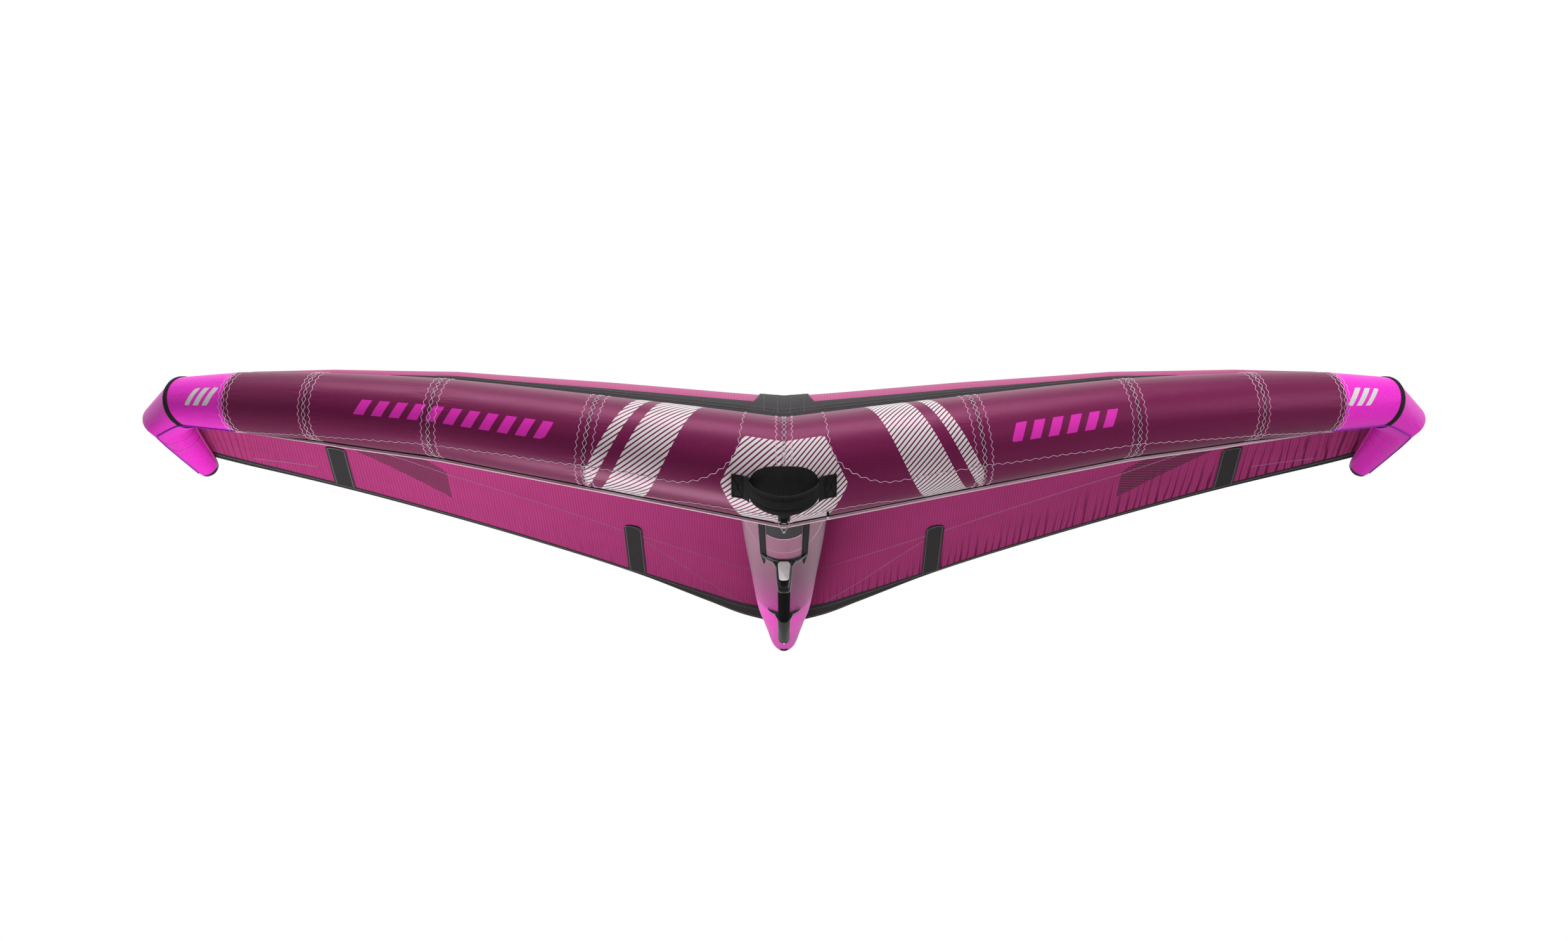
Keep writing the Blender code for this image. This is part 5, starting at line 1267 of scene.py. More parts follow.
        def place(a, b):
            along = a * (BEND - 1)
            panel = min(int(along), BEND - 2)
            share = along - panel
            aside, height = profile[round(b * count) % count]
            close = min(1, (1 - a) / 0.30) ** 0.8
            height = min(height, 0.0008) if close < 0.02 else height * close
            across = TUBE.ways[panel].cross(TUBE.out(panel, WELT_TURN)).normalized()
            return mirrored(TUBE.on_panel(panel, share, WELT_TURN, height) + across * aside * close, side)

        heights = {"seam": lambda a, b: profile[round(b * count) % count][1]}
        piece = laid_cloth(f"tube_welt_{word}", 160, count, place, (1.45, 0.05), 0, None, True, heights)
        dressed(piece, "folded_seam_tape", replaces=[f"le_flange_{word}"])


def canopy_field(a, b):
    """Above one half inside the canopy's outer prints, one slanted panel on either half."""
    span = abs(a)
    first, last = OUTER_PRINT_ENDS
    wide = OUTER_PRINT_HALF - abs(b + OUTER_PRINT_SLANT * (span - 0.70) - OUTER_PRINT_PLACE)
    return 0.5 + min(wide, span - first, last - span) / PRINT_EDGE


class WING_OT_canopy(bpy.types.Operator):
    """Cuts the canopy as one curved sheet, with its hems, batten pockets, nose band and keel"""

    bl_idname = "hand_wing.canopy"
    bl_label = "Canopy"

    def execute(self, context):
        beside = []
        for side, word in SIDES:
            beside.append(self.hem(side, word))
            for where, spans, tops, _ in POCKETS:
                beside += self.pocket(side, word, where, spans, tops)
        beside.append(self.band())
        beside.append(self.patch())
        self.cloth(beside)
        self.keel()
        return {"FINISHED"}

    def cloth(self, beside):
        def place(a, b):
            span = 2 * a - 1
            return on_canopy(span, b * part_way(hem_share(span), 1, 0.35))

        def spaced(a, b):
            """Closer together at the leading edge, where the section curves most."""
            return a, b**1.5

        marks = {
            "hem": lambda a, b: (1 - b) * chord_length(2 * a - 1),
            "print": lambda a, b: canopy_field(2 * a - 1, b),
        }
        piece = laid_cloth(
            "canopy_sheet", 260, 72, place, (CANOPY_WIDTH, CENTRE_CHORD), CLOTH, (0, 0, 1), False, marks,
            spaced,
        )
        names = [f"canopy_{part}_{word}" for part in ("front", "middle", "rear") for _, word in SIDES]
        dressed(piece, "ripstop_nylon_canopy", replaces=names)

    def hem(self, side, word):
        def place(a, b):
            start = hem_share(a)
            return mirrored(on_canopy(a, part_way(start, 1, b)) + Vector((0, 0, 0.0008)), side)

        piece = laid_cloth(f"hem_{word}", 120, 6, place, (1.9, 0.08), CLOTH + 0.0016, (0, 0, 1))
        return dressed(piece, "woven_polyester_hem", replaces=[f"trailing_hem_{word}"])

    def pocket(self, side, word, where, spans, tops):
        """A pocket with a rounded front end, and the batten in it, under the canopy."""

        def cover(a, b):
            span = part_way(*spans, a)
            start = part_way(*tops, a) + 0.016 * (1 - math.sqrt(max(0, 1 - abs(2 * a - 1) ** 3)))
            share = part_way(start, hem_share(span) - 0.001, b)
            return mirrored(on_canopy(span, share, CLOTH + 0.0022), side)

        name = f"pocket_{where}_{word}"
        piece = laid_cloth(name, 14, 40, cover, (0.054, 0.5), 0.0015, (0, 0, 1))
        dressed(piece, "woven_polyester_hem", replaces=[f"batten_pocket_{where}_{word}"])

        def rod(a, b):
            span = part_way(*spans, 0.22 + 0.56 * a)
            share = part_way(part_way(*tops, a) + 0.012, hem_share(span) - 0.010, b)
            return mirrored(on_canopy(span, share, CLOTH + 0.0005), side)

        batten = laid_cloth(f"batten_rod_{where}_{word}", 4, 40, rod, (0.03, 0.5), 0.0012, (0, 0, 1))
        dressed(batten, "pultruded_glass", replaces=[f"batten_{where}_{word}"])
        return [piece, batten]

    def band(self):
        def place(a, b):
            span = (2 * a - 1) * 0.65
            width = 0.006 + 0.018 * (1 - abs(2 * a - 1)) ** 0.8
            return on_canopy(span, b * width, -0.0017)

        piece = laid_cloth("front_band", 200, 6, place, (2.1, 0.05), 0.0014, (0, -0.6, 0.8))
        return dressed(piece, "woven_polyester_hem", replaces=["nose_band"])

    def patch(self):
        def place(a, b):
            span = (2 * a - 1) * (0.042 + 0.020 * max(0, 1 - b / 0.5) ** 1.8)
            return on_canopy(span, 0.001 + b * 0.112, -0.0034)

        piece = laid_cloth("front_patch", 30, 40, place, (0.19, 0.26), 0.0014, (0, -0.6, 0.8))
        return dressed(piece, "woven_polyester_hem")

    def keel(self):
        """The upright cloth between the top of the strut and the canopy."""
        front, back = on_canopy(0, 0), on_canopy(0, 1)

        def top(y):
            share = (y - front.y) / (back.y - front.y)
            return on_canopy(0, share, CLOTH + 0.0004).z

        places = [NOSE_RADIUS + 0.03 + 0.002 * i for i in range(1100)]
        held = [y for y in places if y < back.y - 0.01 and top(y) > strut_radius(y) + 0.004]

        def place(a, b):
            y = part_way(held[0], held[-1], a)
            return Vector((0, y, part_way(strut_radius(y) - 0.0006, top(y), b)))

        piece = laid_cloth(
            "strut_keel", 120, 10, place, (held[-1] - held[0], 0.2), 0.0012, (1, 0, 0), False,
            {"hem": lambda a, b: 1, "print": lambda a, b: 0},
        )
        dressed(piece, "ripstop_nylon_canopy", replaces=["strut_web"])
        height = max(top(y) - strut_radius(y) for y in held)


class WING_OT_canopy_seams(bpy.types.Operator):
    """Stitches the canopy: its panel seams, hems, pockets and the black patch over the nose"""

    bl_idname = "hand_wing.canopy_seams"
    bl_label = "Canopy Seams"

    def execute(self, context):
        under, over, dark, grey = [], [], [], []
        for side, _ in SIDES:
            for line in self.routes(side):
                for shift in (-0.0016, 0.0016):
                    under.append([on_canopy(s, c + shift, CLOTH + 0.0003) for s, c in line])
                    over.append([on_canopy(s, c + shift, -0.0003) for s, c in line])
            for share in (0.22, 0.80):
                hem = []
                for i, span in enumerate(shares(519)):
                    chord = part_way(hem_share(span), 1, share) + sway(i, 0.0009)
                    hem.append(on_canopy(side * span, chord, CLOTH + 0.0027))
                grey.append(hem)
            for _, spans, _, top in POCKETS:
                grey += self.pocket_rows(side, spans, top)
        for span in (-0.0335, -0.0108, 0.0108, 0.0335):
            stops = enumerate(shares(63))
            dark.append([on_canopy(span + sway(i, 0.0011), 0.003 + 0.106 * t, -0.0037) for i, t in stops])
        for chord in (0.0048, 0.0096):
            dark.append([on_canopy(0.576 * (2 * t - 1), chord, -0.0034) for t in shares(200)])
        thread_piece("hem_threads", grey, 0.0005, "grey_thread")
        thread_piece("canopy_threads_under", under, 0.0006, "magenta_thread")
        thread_piece("canopy_threads_over", over, 0.0006, "magenta_thread")
        thread_piece("patch_threads", dark, 0.0005, "dark_thread")
        return {"FINISHED"}

    def routes(self, side):
        """The two seams across the canopy and the inner slanted ones, as span and chord shares."""
        first = (
            (0.0, 0.797), (0.07, 0.798), (0.151, 0.800), (0.313, 0.806), (0.412, 0.789), (0.509, 0.770),
            (0.615, 0.742), (0.72, 0.69), (0.80, 0.66), (0.90, 0.62), (0.97, 0.60),
        )
        second = ((0.085, 0.939), (0.154, 0.905), (0.228, 0.855), (0.278, 0.823))
        third = ((0.84, 0.869), (0.90, 0.89), (0.943, 0.912))
        made = []
        for stops in (first, second, third):
            line = []
            for (s0, c0), (s1, c1) in zip(stops, stops[1:]):
                line += [(part_way(s0, s1, t), part_way(c0, c1, t)) for t in shares(12)[:-1]]
            line.append(stops[-1])
            made.append([(side * s, c) for s, c in line])
        return made + [[(side * s, 0.36) for s in shares(120)[:118]]]

    def pocket_rows(self, side, spans, top):
        rows = []
        for share in (0.09, 0.91):
            span = side * part_way(*spans, share)
            places = [part_way(top + 0.008, hem_share(span) - 0.004, t) for t in shares(70)]
            stops = enumerate(places)
            rows.append([on_canopy(span + sway(i, 0.0011), c, CLOTH + 0.0040) for i, c in stops])
        ring = []
        for turn in (math.pi * t for t in shares(12)):
            span = side * part_way(*spans, 0.5 - 0.42 * math.cos(turn))
            ring.append(on_canopy(span, top + 0.012 - 0.008 * math.sin(turn), CLOTH + 0.0040))
        return rows + [ring]


def layer_edge(turn):
    """Where the second layer of cloth on the strut's front ends, in a curve round its underside."""
    return 0.07 + 0.33 * math.sqrt(max(0, 1 - (turn / math.radians(78)) ** 2))


def strut_rim(turn):
    """Where the strut's front rim meets the back of the leading edge, at one turn from straight down."""
    place = 0
    for _ in range(6):
        radius = strut_radius(place)
        start = Vector((radius * math.sin(turn), 0, -radius * math.cos(turn)))
        place = TUBE.cast(start, Vector((0, 1, 0)), 0.0006).y
    return place


class WING_OT_strut(bpy.types.Operator):
    """Sews the strut's tapered sleeve with its straps, its dark panel and the stitching round them"""

    bl_idname = "hand_wing.strut"
    bl_label = "Strut"

    def execute(self, context):
        rims = [strut_rim(2 * math.pi * t) for t in shares(96)]

        def place(a, b):
            rim = rims[(round(b * 96) + 48) % 96]
            point = on_strut(math.pi + 2 * math.pi * b, part_way(rim, STRUT_LENGTH, a), 0)
            close = max(0, 1 - (1 - a) / 0.004)
            return Vector((point.x * (1 - close), point.y, point.z * (1 - close)))

        def spaced(a, b):
            return (a if a < 0.5 else 0.5 + 0.5 * (1 - (1 - 2 * (a - 0.5)) ** 1.6)), b

        def doubled(a, b):
            """Above one half on the front, where the cloth is doubled."""
            return 0.5 + (layer_edge(math.pi * (1 - abs(2 * b - 1))) - a * STRUT_LENGTH) / 0.1

        girth = 2 * math.pi * STRUT_RADIUS * STRUT_GIRTH_SHARE
        piece = laid_cloth(
            "strut_cloth", 200, 96, place, (STRUT_LENGTH, girth), 0.001, None, True,
            {"seam": lambda a, b: 0.02 + a * STRUT_LENGTH, "print": doubled}, spaced,
        )
        dressed(piece, "coated_polyester_strut", replaces=["strut_sleeve"])
        self.straps()
        self.panel()
        self.tail_tab()
        self.threads()
        return {"FINISHED"}

    def straps(self):
        for side, word in SIDES:

            def place(a, b):
                y = part_way(0.1, STRAP_END, a)
                half = STRAP_HALF if y < STRAP_NARROWS else max(1.1, STRAP_HALF - 38 * (y - STRAP_NARROWS))
                turn = side * math.radians(STRAP_TURN + half * (2 * b - 1))
                start = strut_rim(turn) + 0.002
                return on_strut(turn, part_way(start, STRAP_END, a), 0.0016)

            piece = laid_cloth(f"strut_webbing_{word}", 40, 10, place, (0.52, 0.019), 0.0014, (0, 0, -1))
            dressed(piece, "woven_webbing", replaces=[f"strut_strap_{word}"])

    def panel(self):
        def end(b):
            return 0.245 - 0.030 * (1 - math.sqrt(max(0, 1 - abs(2 * b - 1) ** 2.2)))

        def place(a, b):
            turn = STRUT_PANEL_HALF * (2 * b - 1)
            return on_strut(turn, part_way(strut_rim(turn) + 0.002, end(b), a), 0.0016)

        piece = laid_cloth("strut_panel", 30, 28, place, (0.17, 0.093), 0.0012, (0, 0, -1))
        dressed(piece, "woven_polyester_hem", replaces=["strut_patch"])
        along = [0.03 + 0.94 * t for t in shares(40)]
        edge = [on_strut(STRUT_PANEL_HALF * (2 * b - 1), end(b) - 0.005, 0.0017) for b in along]
        thread_piece("panel_border", [edge], 0.0012, "polyester_thread")

    def tail_tab(self):
        """The dark webbing tab at the strut's tail, and the ring of piping round it."""

        def place(a, b):
            turn = math.radians(16) * (2 * b - 1)
            return on_strut(turn, part_way(*TAIL_TAB, a), 0.0018)

        piece = laid_cloth("tail_tab", 12, 8, place, (0.065, 0.03), 0.0016, (0, 0, -1))
        dressed(piece, "woven_webbing")
        ring = [on_strut(2 * math.pi * t, TAIL_RING, 0.0002) for t in shares(48)]
        thread_piece("tail_piping", [ring], 0.0016, "black_thread")

    def threads(self):
        rows, dark = [], []
        for side, _ in SIDES:
            for angle in (25.6, 32.4):
                turn = side * math.radians(angle)
                start = strut_rim(turn) + 0.006
                dark.append([on_strut(turn, part_way(start, STRAP_NARROWS, t), 0.0016) for t in shares(30)])
            # Zigzags of the sleeve's long seams
            for angle in (96, 104):
                zig = []
                for i in range(150):
                    y = 0.16 + 0.0135 * i
                    turn = side * (math.radians(angle) + sway(i, 0.0022) / strut_radius(y))
                    zig.append(on_strut(turn, y, STITCH_PROUD))
                rows.append(zig)
        thread_piece("strut_threads", rows, 0.0006, "magenta_thread")
        thread_piece("strap_threads", dark, 0.0005, "black_thread")
        turns = [math.radians(76) * (2 * t - 1) for t in shares(80)]
        edge = [on_strut(turn, layer_edge(turn) + 0.005, STITCH_PROUD) for turn in turns]
        thread_piece("strut_layer_edge", [edge], 0.0007, "polyester_thread")


class WING_OT_bladders(bpy.types.Operator):
    """Makes the two clear film bladders inside the leading edge and the strut"""

    bl_idname = "hand_wing.bladders"
    bl_label = "Bladders"

    def execute(self, context):
        ends = BEND + 2

        def tube(a, b):
            along, side = abs(2 * a - 1) * ends, (-1 if a < 0.5 else 1)
            panel = min(int(along), ends - 1)
            share = along - panel
            if panel == ends - 1:
                share *= 0.93
            close = min(1, (ends - along) / 0.05)
            point = TUBE.on_panel(panel, share, 2 * math.pi * b, -0.004)
            axis = TUBE.centres[panel].lerp(TUBE.centres[panel + 1], share)
            return mirrored(axis.lerp(point, math.sqrt(max(0, close))), side)

        piece = pierced(laid_cloth("tube_bladder", 140, 40, tube, (4.0, 0.6), 0, None, True))
        dressed(piece, "bladder_film", replaces=["le_bladder"])
        front = NOSE_RADIUS + 0.014

        def strut(a, b):
            y = part_way(front, STRUT_LENGTH - 0.02, a)
            point = on_strut(2 * math.pi * b, y, -0.004)
            close = min(1, a / 0.02, (1 - a) / 0.01)
            return Vector((point.x * math.sqrt(close), y, point.z * math.sqrt(close)))

        piece = laid_cloth("strut_film", 120, 40, strut, (2.1, 0.55), 0, None, True)
        dressed(piece, "bladder_film", replaces=["strut_bladder"])
        return {"FINISHED"}


def softened(node_name, name, finish, width, body="wing"):
    """A merged copy of a rigid solid with its edges rounded, as its mould or tool leaves them."""
    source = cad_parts[node_name]
    pick(source)
    bpy.ops.object.duplicate()
    piece = named(bpy.context.object, name)
    piece.parent = None
    for key in list(piece.keys()):
        del piece[key]
    bpy.ops.object.mode_set(mode="EDIT")
    bpy.ops.mesh.select_all(action="SELECT")
    bpy.ops.mesh.remove_doubles(threshold=0.00001)
    bpy.ops.mesh.tris_convert_to_quads(face_threshold=math.radians(5), shape_threshold=math.radians(60))
    bpy.ops.object.mode_set(mode="OBJECT")
    apply_modifier(
        piece, "BEVEL", width=width, segments=3, limit_method="ANGLE", angle_limit=math.radians(38),
        use_clamp_overlap=True,
    )
    pick(piece)
    bpy.ops.object.shade_smooth_by_angle(angle=math.radians(35))
    return dressed(piece, finish, body, [node_name])


def lofted(name, columns, rows, place, wrapped=True):
    """A closed rounded form laid like cloth on a grid, without a thickness of its own."""
    return laid_cloth(name, columns, rows, place, (0.1, 0.1), 0, None, wrapped, None, None, 40)


def boom_height(place):
    """Height of the bar's middle line, parallel to the strut's underside between its two feet."""
    share = (place - FRONT_FOOT_PLACE) / (REAR_FOOT_PLACE - FRONT_FOOT_PLACE)
    return part_way(FRONT_BAR_HEIGHT, REAR_BAR_HEIGHT, share)


class WING_OT_boom(bpy.types.Operator):
    """Shapes the boom's two feet with their thin saddle wings, rounds its bar and cover, and gives its grip
    and screw their surfaces
    """

    bl_idname = "hand_wing.boom"
    bl_label = "Boom"

    def execute(self, context):
        refinish("boom_grip", "ground_eva_foam")
        refinish("boom_screw", "stainless_steel")
        softened("boom_bar", "boom_tube", "anodised_aluminium", 0.0012)
        softened("leg_cover", "leg_plate", "moulded_abs", 0.0006)
        self.front()
        self.rear()
        return {"FINISHED"}

    def blade(self, name, place, sweep):
        """A swept saddle wing that hugs the strut, thick in its middle and thin at its tips."""

        def at(a, b):
            u = 2 * a - 1
            turn = FOOT_HALF_TURN * math.sin(math.pi / 2 * u)
            ring = 2 * math.pi * b
            close = math.sqrt(max(0, 1 - abs(u) ** 10))
            chord = FOOT_WING_LENGTH / 2 * (1 - 0.62 * abs(u) ** 1.4) * close
            thick = (0.0040 - 0.0026 * abs(u)) * close
            y = place - sweep * abs(u) ** 1.7 + chord * math.cos(ring)
            return on_strut(turn, y, 0.0026 + thick + thick * math.sin(ring))

        return lofted(name, 48, 20, at)

    def leg(self, name, stations):
        """A leg whose rounded section changes along it: share, y, z, half width and half depth."""
        stops = [row[0] for row in stations]

        def at(a, b):
            y, z, wide, deep = (between(a, stops, [row[k] for row in stations]) for k in (1, 2, 3, 4))
            ring = 2 * math.pi * b
            c, s = math.cos(ring), math.sin(ring)
            close = math.sqrt(max(0, min(1, a / 0.03, (1 - a) / 0.05)))
            x = squared(c, LEG_SQUARENESS) * wide * close
            return Vector((x, y + squared(s, LEG_SQUARENESS) * deep * close, z))

        return lofted(name, 40, 32, at)

    def front(self):
        place = FRONT_FOOT_PLACE
        leg_back = place - 0.015
        top = -strut_radius(place) - FOOT_DROP
        axis = boom_height(leg_back)
        blade = self.blade("front_foot_wing", place - 0.008, 0.036)
        dressed(blade, "moulded_nylon", "wing", ["boom_front_foot"])
        stations = (
            (0, leg_back, top, 0.0330, 0.0150), (0.10, leg_back, top - 0.006, 0.0285, 0.0150),
            (0.28, leg_back, top - 0.018, 0.0228, 0.0150), (0.6, leg_back, axis + 0.022, 0.0208, 0.0150),
            (0.85, leg_back, axis, 0.0184, 0.0148), (1, leg_back, axis - 0.0165, 0.0150, 0.0125),
        )
        leg = self.leg("front_foot_leg", stations)
        dressed(leg, "moulded_nylon", "wing")
        # The round button on the leg's cover, as two fine rims
        middle = Vector((0, leg_back - 0.0191, axis + 0.050))
        ring = [Vector((math.cos(2 * math.pi * t), 0, math.sin(2 * math.pi * t))) for t in shares(40)]
        rims = [[middle + way * radius for way in ring] for radius in (0.0105, 0.0060)]
        thread_piece("cover_rims", rims, 0.0005, "moulded_abs")

    def rear(self):
        place = REAR_FOOT_PLACE
        top = -strut_radius(place) - FOOT_DROP
        axis = boom_height(place)
        blade = self.blade("rear_foot_wing", place, 0.030)
        dressed(blade, "moulded_nylon", "wing", ["boom_rear_foot"])
        stations = (
            (0, place, top, 0.0290, 0.0170), (0.12, place, top - 0.005, 0.0268, 0.0165),
            (0.45, place, top - 0.018, 0.0208, 0.0150), (0.8, place, axis + 0.022, 0.0184, 0.0150),
            (1, place, axis + 0.010, 0.0176, 0.0150),
        )
        leg = self.leg("rear_foot_leg", stations)
        dressed(leg, "moulded_nylon", "wing")

        def label(a, b):
            return Vector((0.006 * (a - 0.5), BAR_END - 0.034 + 0.012 * b, boom_height(BAR_END) - 0.0186))

        dressed(lofted("tail_mark", 6, 6, label, False), "white_label")


class WING_OT_fittings(bpy.types.Operator):
    """Rounds the valve, its cap, the hose clamp and its lever, and gives them their surfaces"""

    bl_idname = "hand_wing.fittings"
    bl_label = "Fittings"

    def execute(self, context):
        softened("valve_base", "valve_body", "moulded_tpu", 0.0006)
        softened("valve_cap", "valve_lid", "moulded_tpu", 0.0006, "valve_cap")
        softened("hose_clamp", "clamp_ring", "moulded_nylon", 0.0004)
        softened("clamp_lever", "clamp_arm", "moulded_nylon", 0.0004, "clamp_lever")
        return {"FINISHED"}


class WING_OT_handle(bpy.types.Operator):
    """Sews the front handle: a padded woven loop, its box-stitched anchors and the backing behind it"""

    bl_idname = "hand_wing.handle"
    bl_label = "Front Handle"

    def execute(self, context):
        self.backing()
        for side, word in SIDES:
            self.anchor(side, word)
        self.loop()
        return {"FINISHED"}

    def backing(self):
        end = ANCHOR_INNER - GAP

        def place(a, b):
            across = 2 * a - 1
            high = 22 * (1 - abs(across) ** 3) ** 0.42 if abs(across) < 1 else 0
            high += 5 * (1 - abs(across))
            angle = math.radians(-38 + max(high, 5) * (2 * b - 1))
            return nose_point(end * across, angle, 0.0016)

        piece = laid_cloth("nose_backing", 30, 24, place, (0.17, 0.11), 0.0012, (0, -1, -0.6))
        dressed(piece, "knitted_neoprene", replaces=["handle_backing"])

    def anchor(self, side, word):
        half_turn = ANCHOR_HEIGHT / 2 / NOSE_RADIUS

        def over(a, b, extra=0.0):
            lift = 0.0085 * max(0, 1 - a / 0.42) ** 2
            angle = ANCHOR_ANGLE - math.radians(1.5) + half_turn * (2 * b - 1)
            return nose_point(side * (ANCHOR_INNER + ANCHOR_WIDTH * a), angle, 0.0034 + lift + extra)

        piece = laid_cloth(
            f"anchor_{word}", 20, 24, over, (ANCHOR_WIDTH, ANCHOR_HEIGHT), 0.003, (0, -1, -0.6)
        )
        dressed(piece, "woven_webbing", replaces=[f"handle_anchor_{word}"])

        def row(a0, b0, a1, b1):
            return [over(part_way(a0, a1, t), part_way(b0, b1, t), 0.0003) for t in shares(14)]

        # The box of stitches with its cross
        near, far, low, high = 0.34, 0.93, 0.07, 0.93
        ends = (
            (near, low, far, low), (far, low, far, high), (far, high, near, high), (near, high, near, low),
            (near, low, far, high), (near, high, far, low),
        )
        box = [row(*stops) for stops in ends]
        thread_piece(f"anchor_threads_{word}", box, 0.0009, "black_thread")

    def section(self, a, b, extra=0.0):
        end = ANCHOR_INNER - GAP - HANDLE_END_THICKNESS / 2
        across = Vector((1, 0, 0))
        reach_way = Vector((0, -math.cos(ANCHOR_ANGLE), math.sin(ANCHOR_ANGLE)))
        wide_way = Vector((0, math.sin(ANCHOR_ANGLE), math.cos(ANCHOR_ANGLE)))
        turn = math.pi * a
        swell = math.sin(turn) ** 0.95 if 0 < a < 1 else 0
        x = -end * squared(math.cos(turn), 0.95)
        # The loop spans the nose's crease in one round sweep
        soft = (math.hypot(x, 0.07) - 0.07) / (math.hypot(end, 0.07) - 0.07) * end
        centre = nose_point(soft, ANCHOR_ANGLE, HANDLE_STANDOFF) + reach_way * (HANDLE_REACH * swell)
        centre.x = x
        way = (across * math.sin(turn) + reach_way * math.cos(turn)).normalized()
        normal = way.cross(wide_way).normalized()
        width = part_way(HANDLE_END_WIDTH, HANDLE_WIDTH, swell) / 2
        thick = part_way(HANDLE_END_THICKNESS, HANDLE_THICKNESS, swell) / 2
        angle = 2 * math.pi * b
        u = squared(math.cos(angle), HANDLE_SQUARE)
        v = squared(math.sin(angle), 0.75)
        groove = sum(depth * math.exp(-(((u - at) / wide) ** 2)) for at, depth, wide in HANDLE_GROOVES)
        v *= 1 - groove
        close = math.sqrt(min(1, a / 0.012, (1 - a) / 0.012)) if 0 < a < 1 else 0
        return centre + (wide_way * (width * u) + normal * ((thick + extra) * v)) * close

    def loop(self):
        def spaced(a, b):
            return a - 0.10 * math.sin(2 * math.pi * a) / (2 * math.pi), b

        piece = laid_cloth("handle_pad", 96, 80, self.section, (0.26, 0.13), 0, None, True, None, spaced)
        dressed(piece, "knitted_neoprene", "front_handle", ["front_handle"])
        rows = []
        for face in (-1, 1):
            for place in HANDLE_SEAMS:
                turn = math.acos(squared(place, 1 / HANDLE_SQUARE)) * face / (2 * math.pi)
                rows.append([self.section(0.03 + 0.94 * t, turn, 0.0002) for t in shares(60)])
        thread_piece("handle_threads", rows, 0.0005, "black_thread", "front_handle")


class WING_OT_leash(bpy.types.Operator):
    """Makes the leash tab, the cord loop that hangs in it and the small pull tab beside it"""

    bl_idname = "hand_wing.leash"
    bl_label = "Leash"

    def execute(self, context):
        out = Vector((0, -math.cos(LEASH_ANGLE), math.sin(LEASH_ANGLE)))
        across = Vector((1, 0, 0))
        up = out.cross(across)
        eye = nose_point(0, LEASH_ANGLE, GAP + 0.005)
        profile = (
            (0.0078, -0.0040), (0.0062, -0.0039), (0.0050, -0.0024), (0.0044, 0.0004), (0.0034, 0.0031),
            (0.0014, 0.0046), (-0.0014, 0.0046), (-0.0034, 0.0031), (-0.0044, 0.0004), (-0.0050, -0.0024),
            (-0.0062, -0.0039), (-0.0078, -0.0040),
        )
        stops = shares(len(profile) - 1)

        def tab(a, b):
            u, o = (between(b, stops, [point[k] for point in profile]) for k in (0, 1))
            return eye + across * (LEASH_TAB_WIDTH * (a - 0.5)) + up * u + out * o

        piece = laid_cloth("leash_webbing", 10, 44, tab, (LEASH_TAB_WIDTH, 0.034), 0.0012, (0, -0.1, -1))
        dressed(piece, "woven_webbing", replaces=["leash_tab"])

        def base(a, b):
            turn = LEASH_ANGLE + math.radians(7.5) * (2 * b - 1)
            return nose_point(0.0145 * (2 * a - 1), turn, 0.0022)

        piece = laid_cloth("leash_base", 14, 16, base, (0.029, 0.034), 0.001, (0, -0.1, -1))
        dressed(piece, "woven_webbing")
        self.loop(eye)
        self.pull()
        return {"FINISHED"}

    def loop(self, eye):
        half = (
            (0.2, 0), (0.5, 0), (0.8, 0.01), (1, 0.09), (1.04, 0.24), (0.92, 0.4), (0.66, 0.58), (0.42, 0.76),
            (0.24, 0.9), (0.14, 1), (0.0, 1.05),
        )
        right = [eye + Vector((LEASH_HALF_WIDTH * x, 0, -LEASH_DROP * z)) for x, z in half]
        route = right + [Vector((2 * eye.x - p.x, p.y, p.z)) for p in reversed(right[:-1])]
        smooth = self.smoothed(route)
        piece = round_curve("leash_cord", [smooth], LEASH_CORD_RADIUS, 3)
        dressed(piece, "braided_cord", "leash_loop", ["leash_loop"])
        deselect()
        bpy.ops.mesh.primitive_uv_sphere_add(segments=24, ring_count=14, radius=LEASH_KNOT_RADIUS)
        knot = named(bpy.context.object, "leash_knot")
        bpy.ops.transform.resize(value=(1.15, 1, 0.85))
        knot.location = eye + Vector((0, 0, -LEASH_DROP)) + CARRIER
        settle(knot)
        bpy.ops.object.shade_smooth()
        dressed(knot, "braided_cord", "leash_loop")
        run_length(smooth)

    def smoothed(self, route):
        for _ in range(3):
            cut = [route[0]]
            for a, b in zip(route, route[1:]):
                cut += [a.lerp(b, 0.25), a.lerp(b, 0.75)]
            route = cut + [route[-1]]
        return route

    def pull(self):
        edge = nose_point(PULL_TAB_PLACE, LEASH_ANGLE, GAP + 0.00075)

        def flap(a, b):
            bow = -0.00075 + 0.0009 * math.sin(math.pi * b)
            return edge + Vector((PULL_TAB_WIDTH * (a - 0.5), bow, -PULL_TAB_LENGTH * b))

        flat = (PULL_TAB_WIDTH, PULL_TAB_LENGTH)
        piece = laid_cloth("pull_webbing", 6, 18, flap, flat, 0.0014, (0, -1, 0))
        dressed(piece, "woven_webbing", "pull_tab", ["pull_tab"])

        def end(a, b):
            return flap(a, 0.62 + 0.36 * b) + Vector((0, -0.0004, 0))

        label = laid_cloth("pull_label", 4, 8, end, (PULL_TAB_WIDTH, 0.009), 0.0003, (0, -1, 0))
        dressed(label, "white_label", "pull_tab")


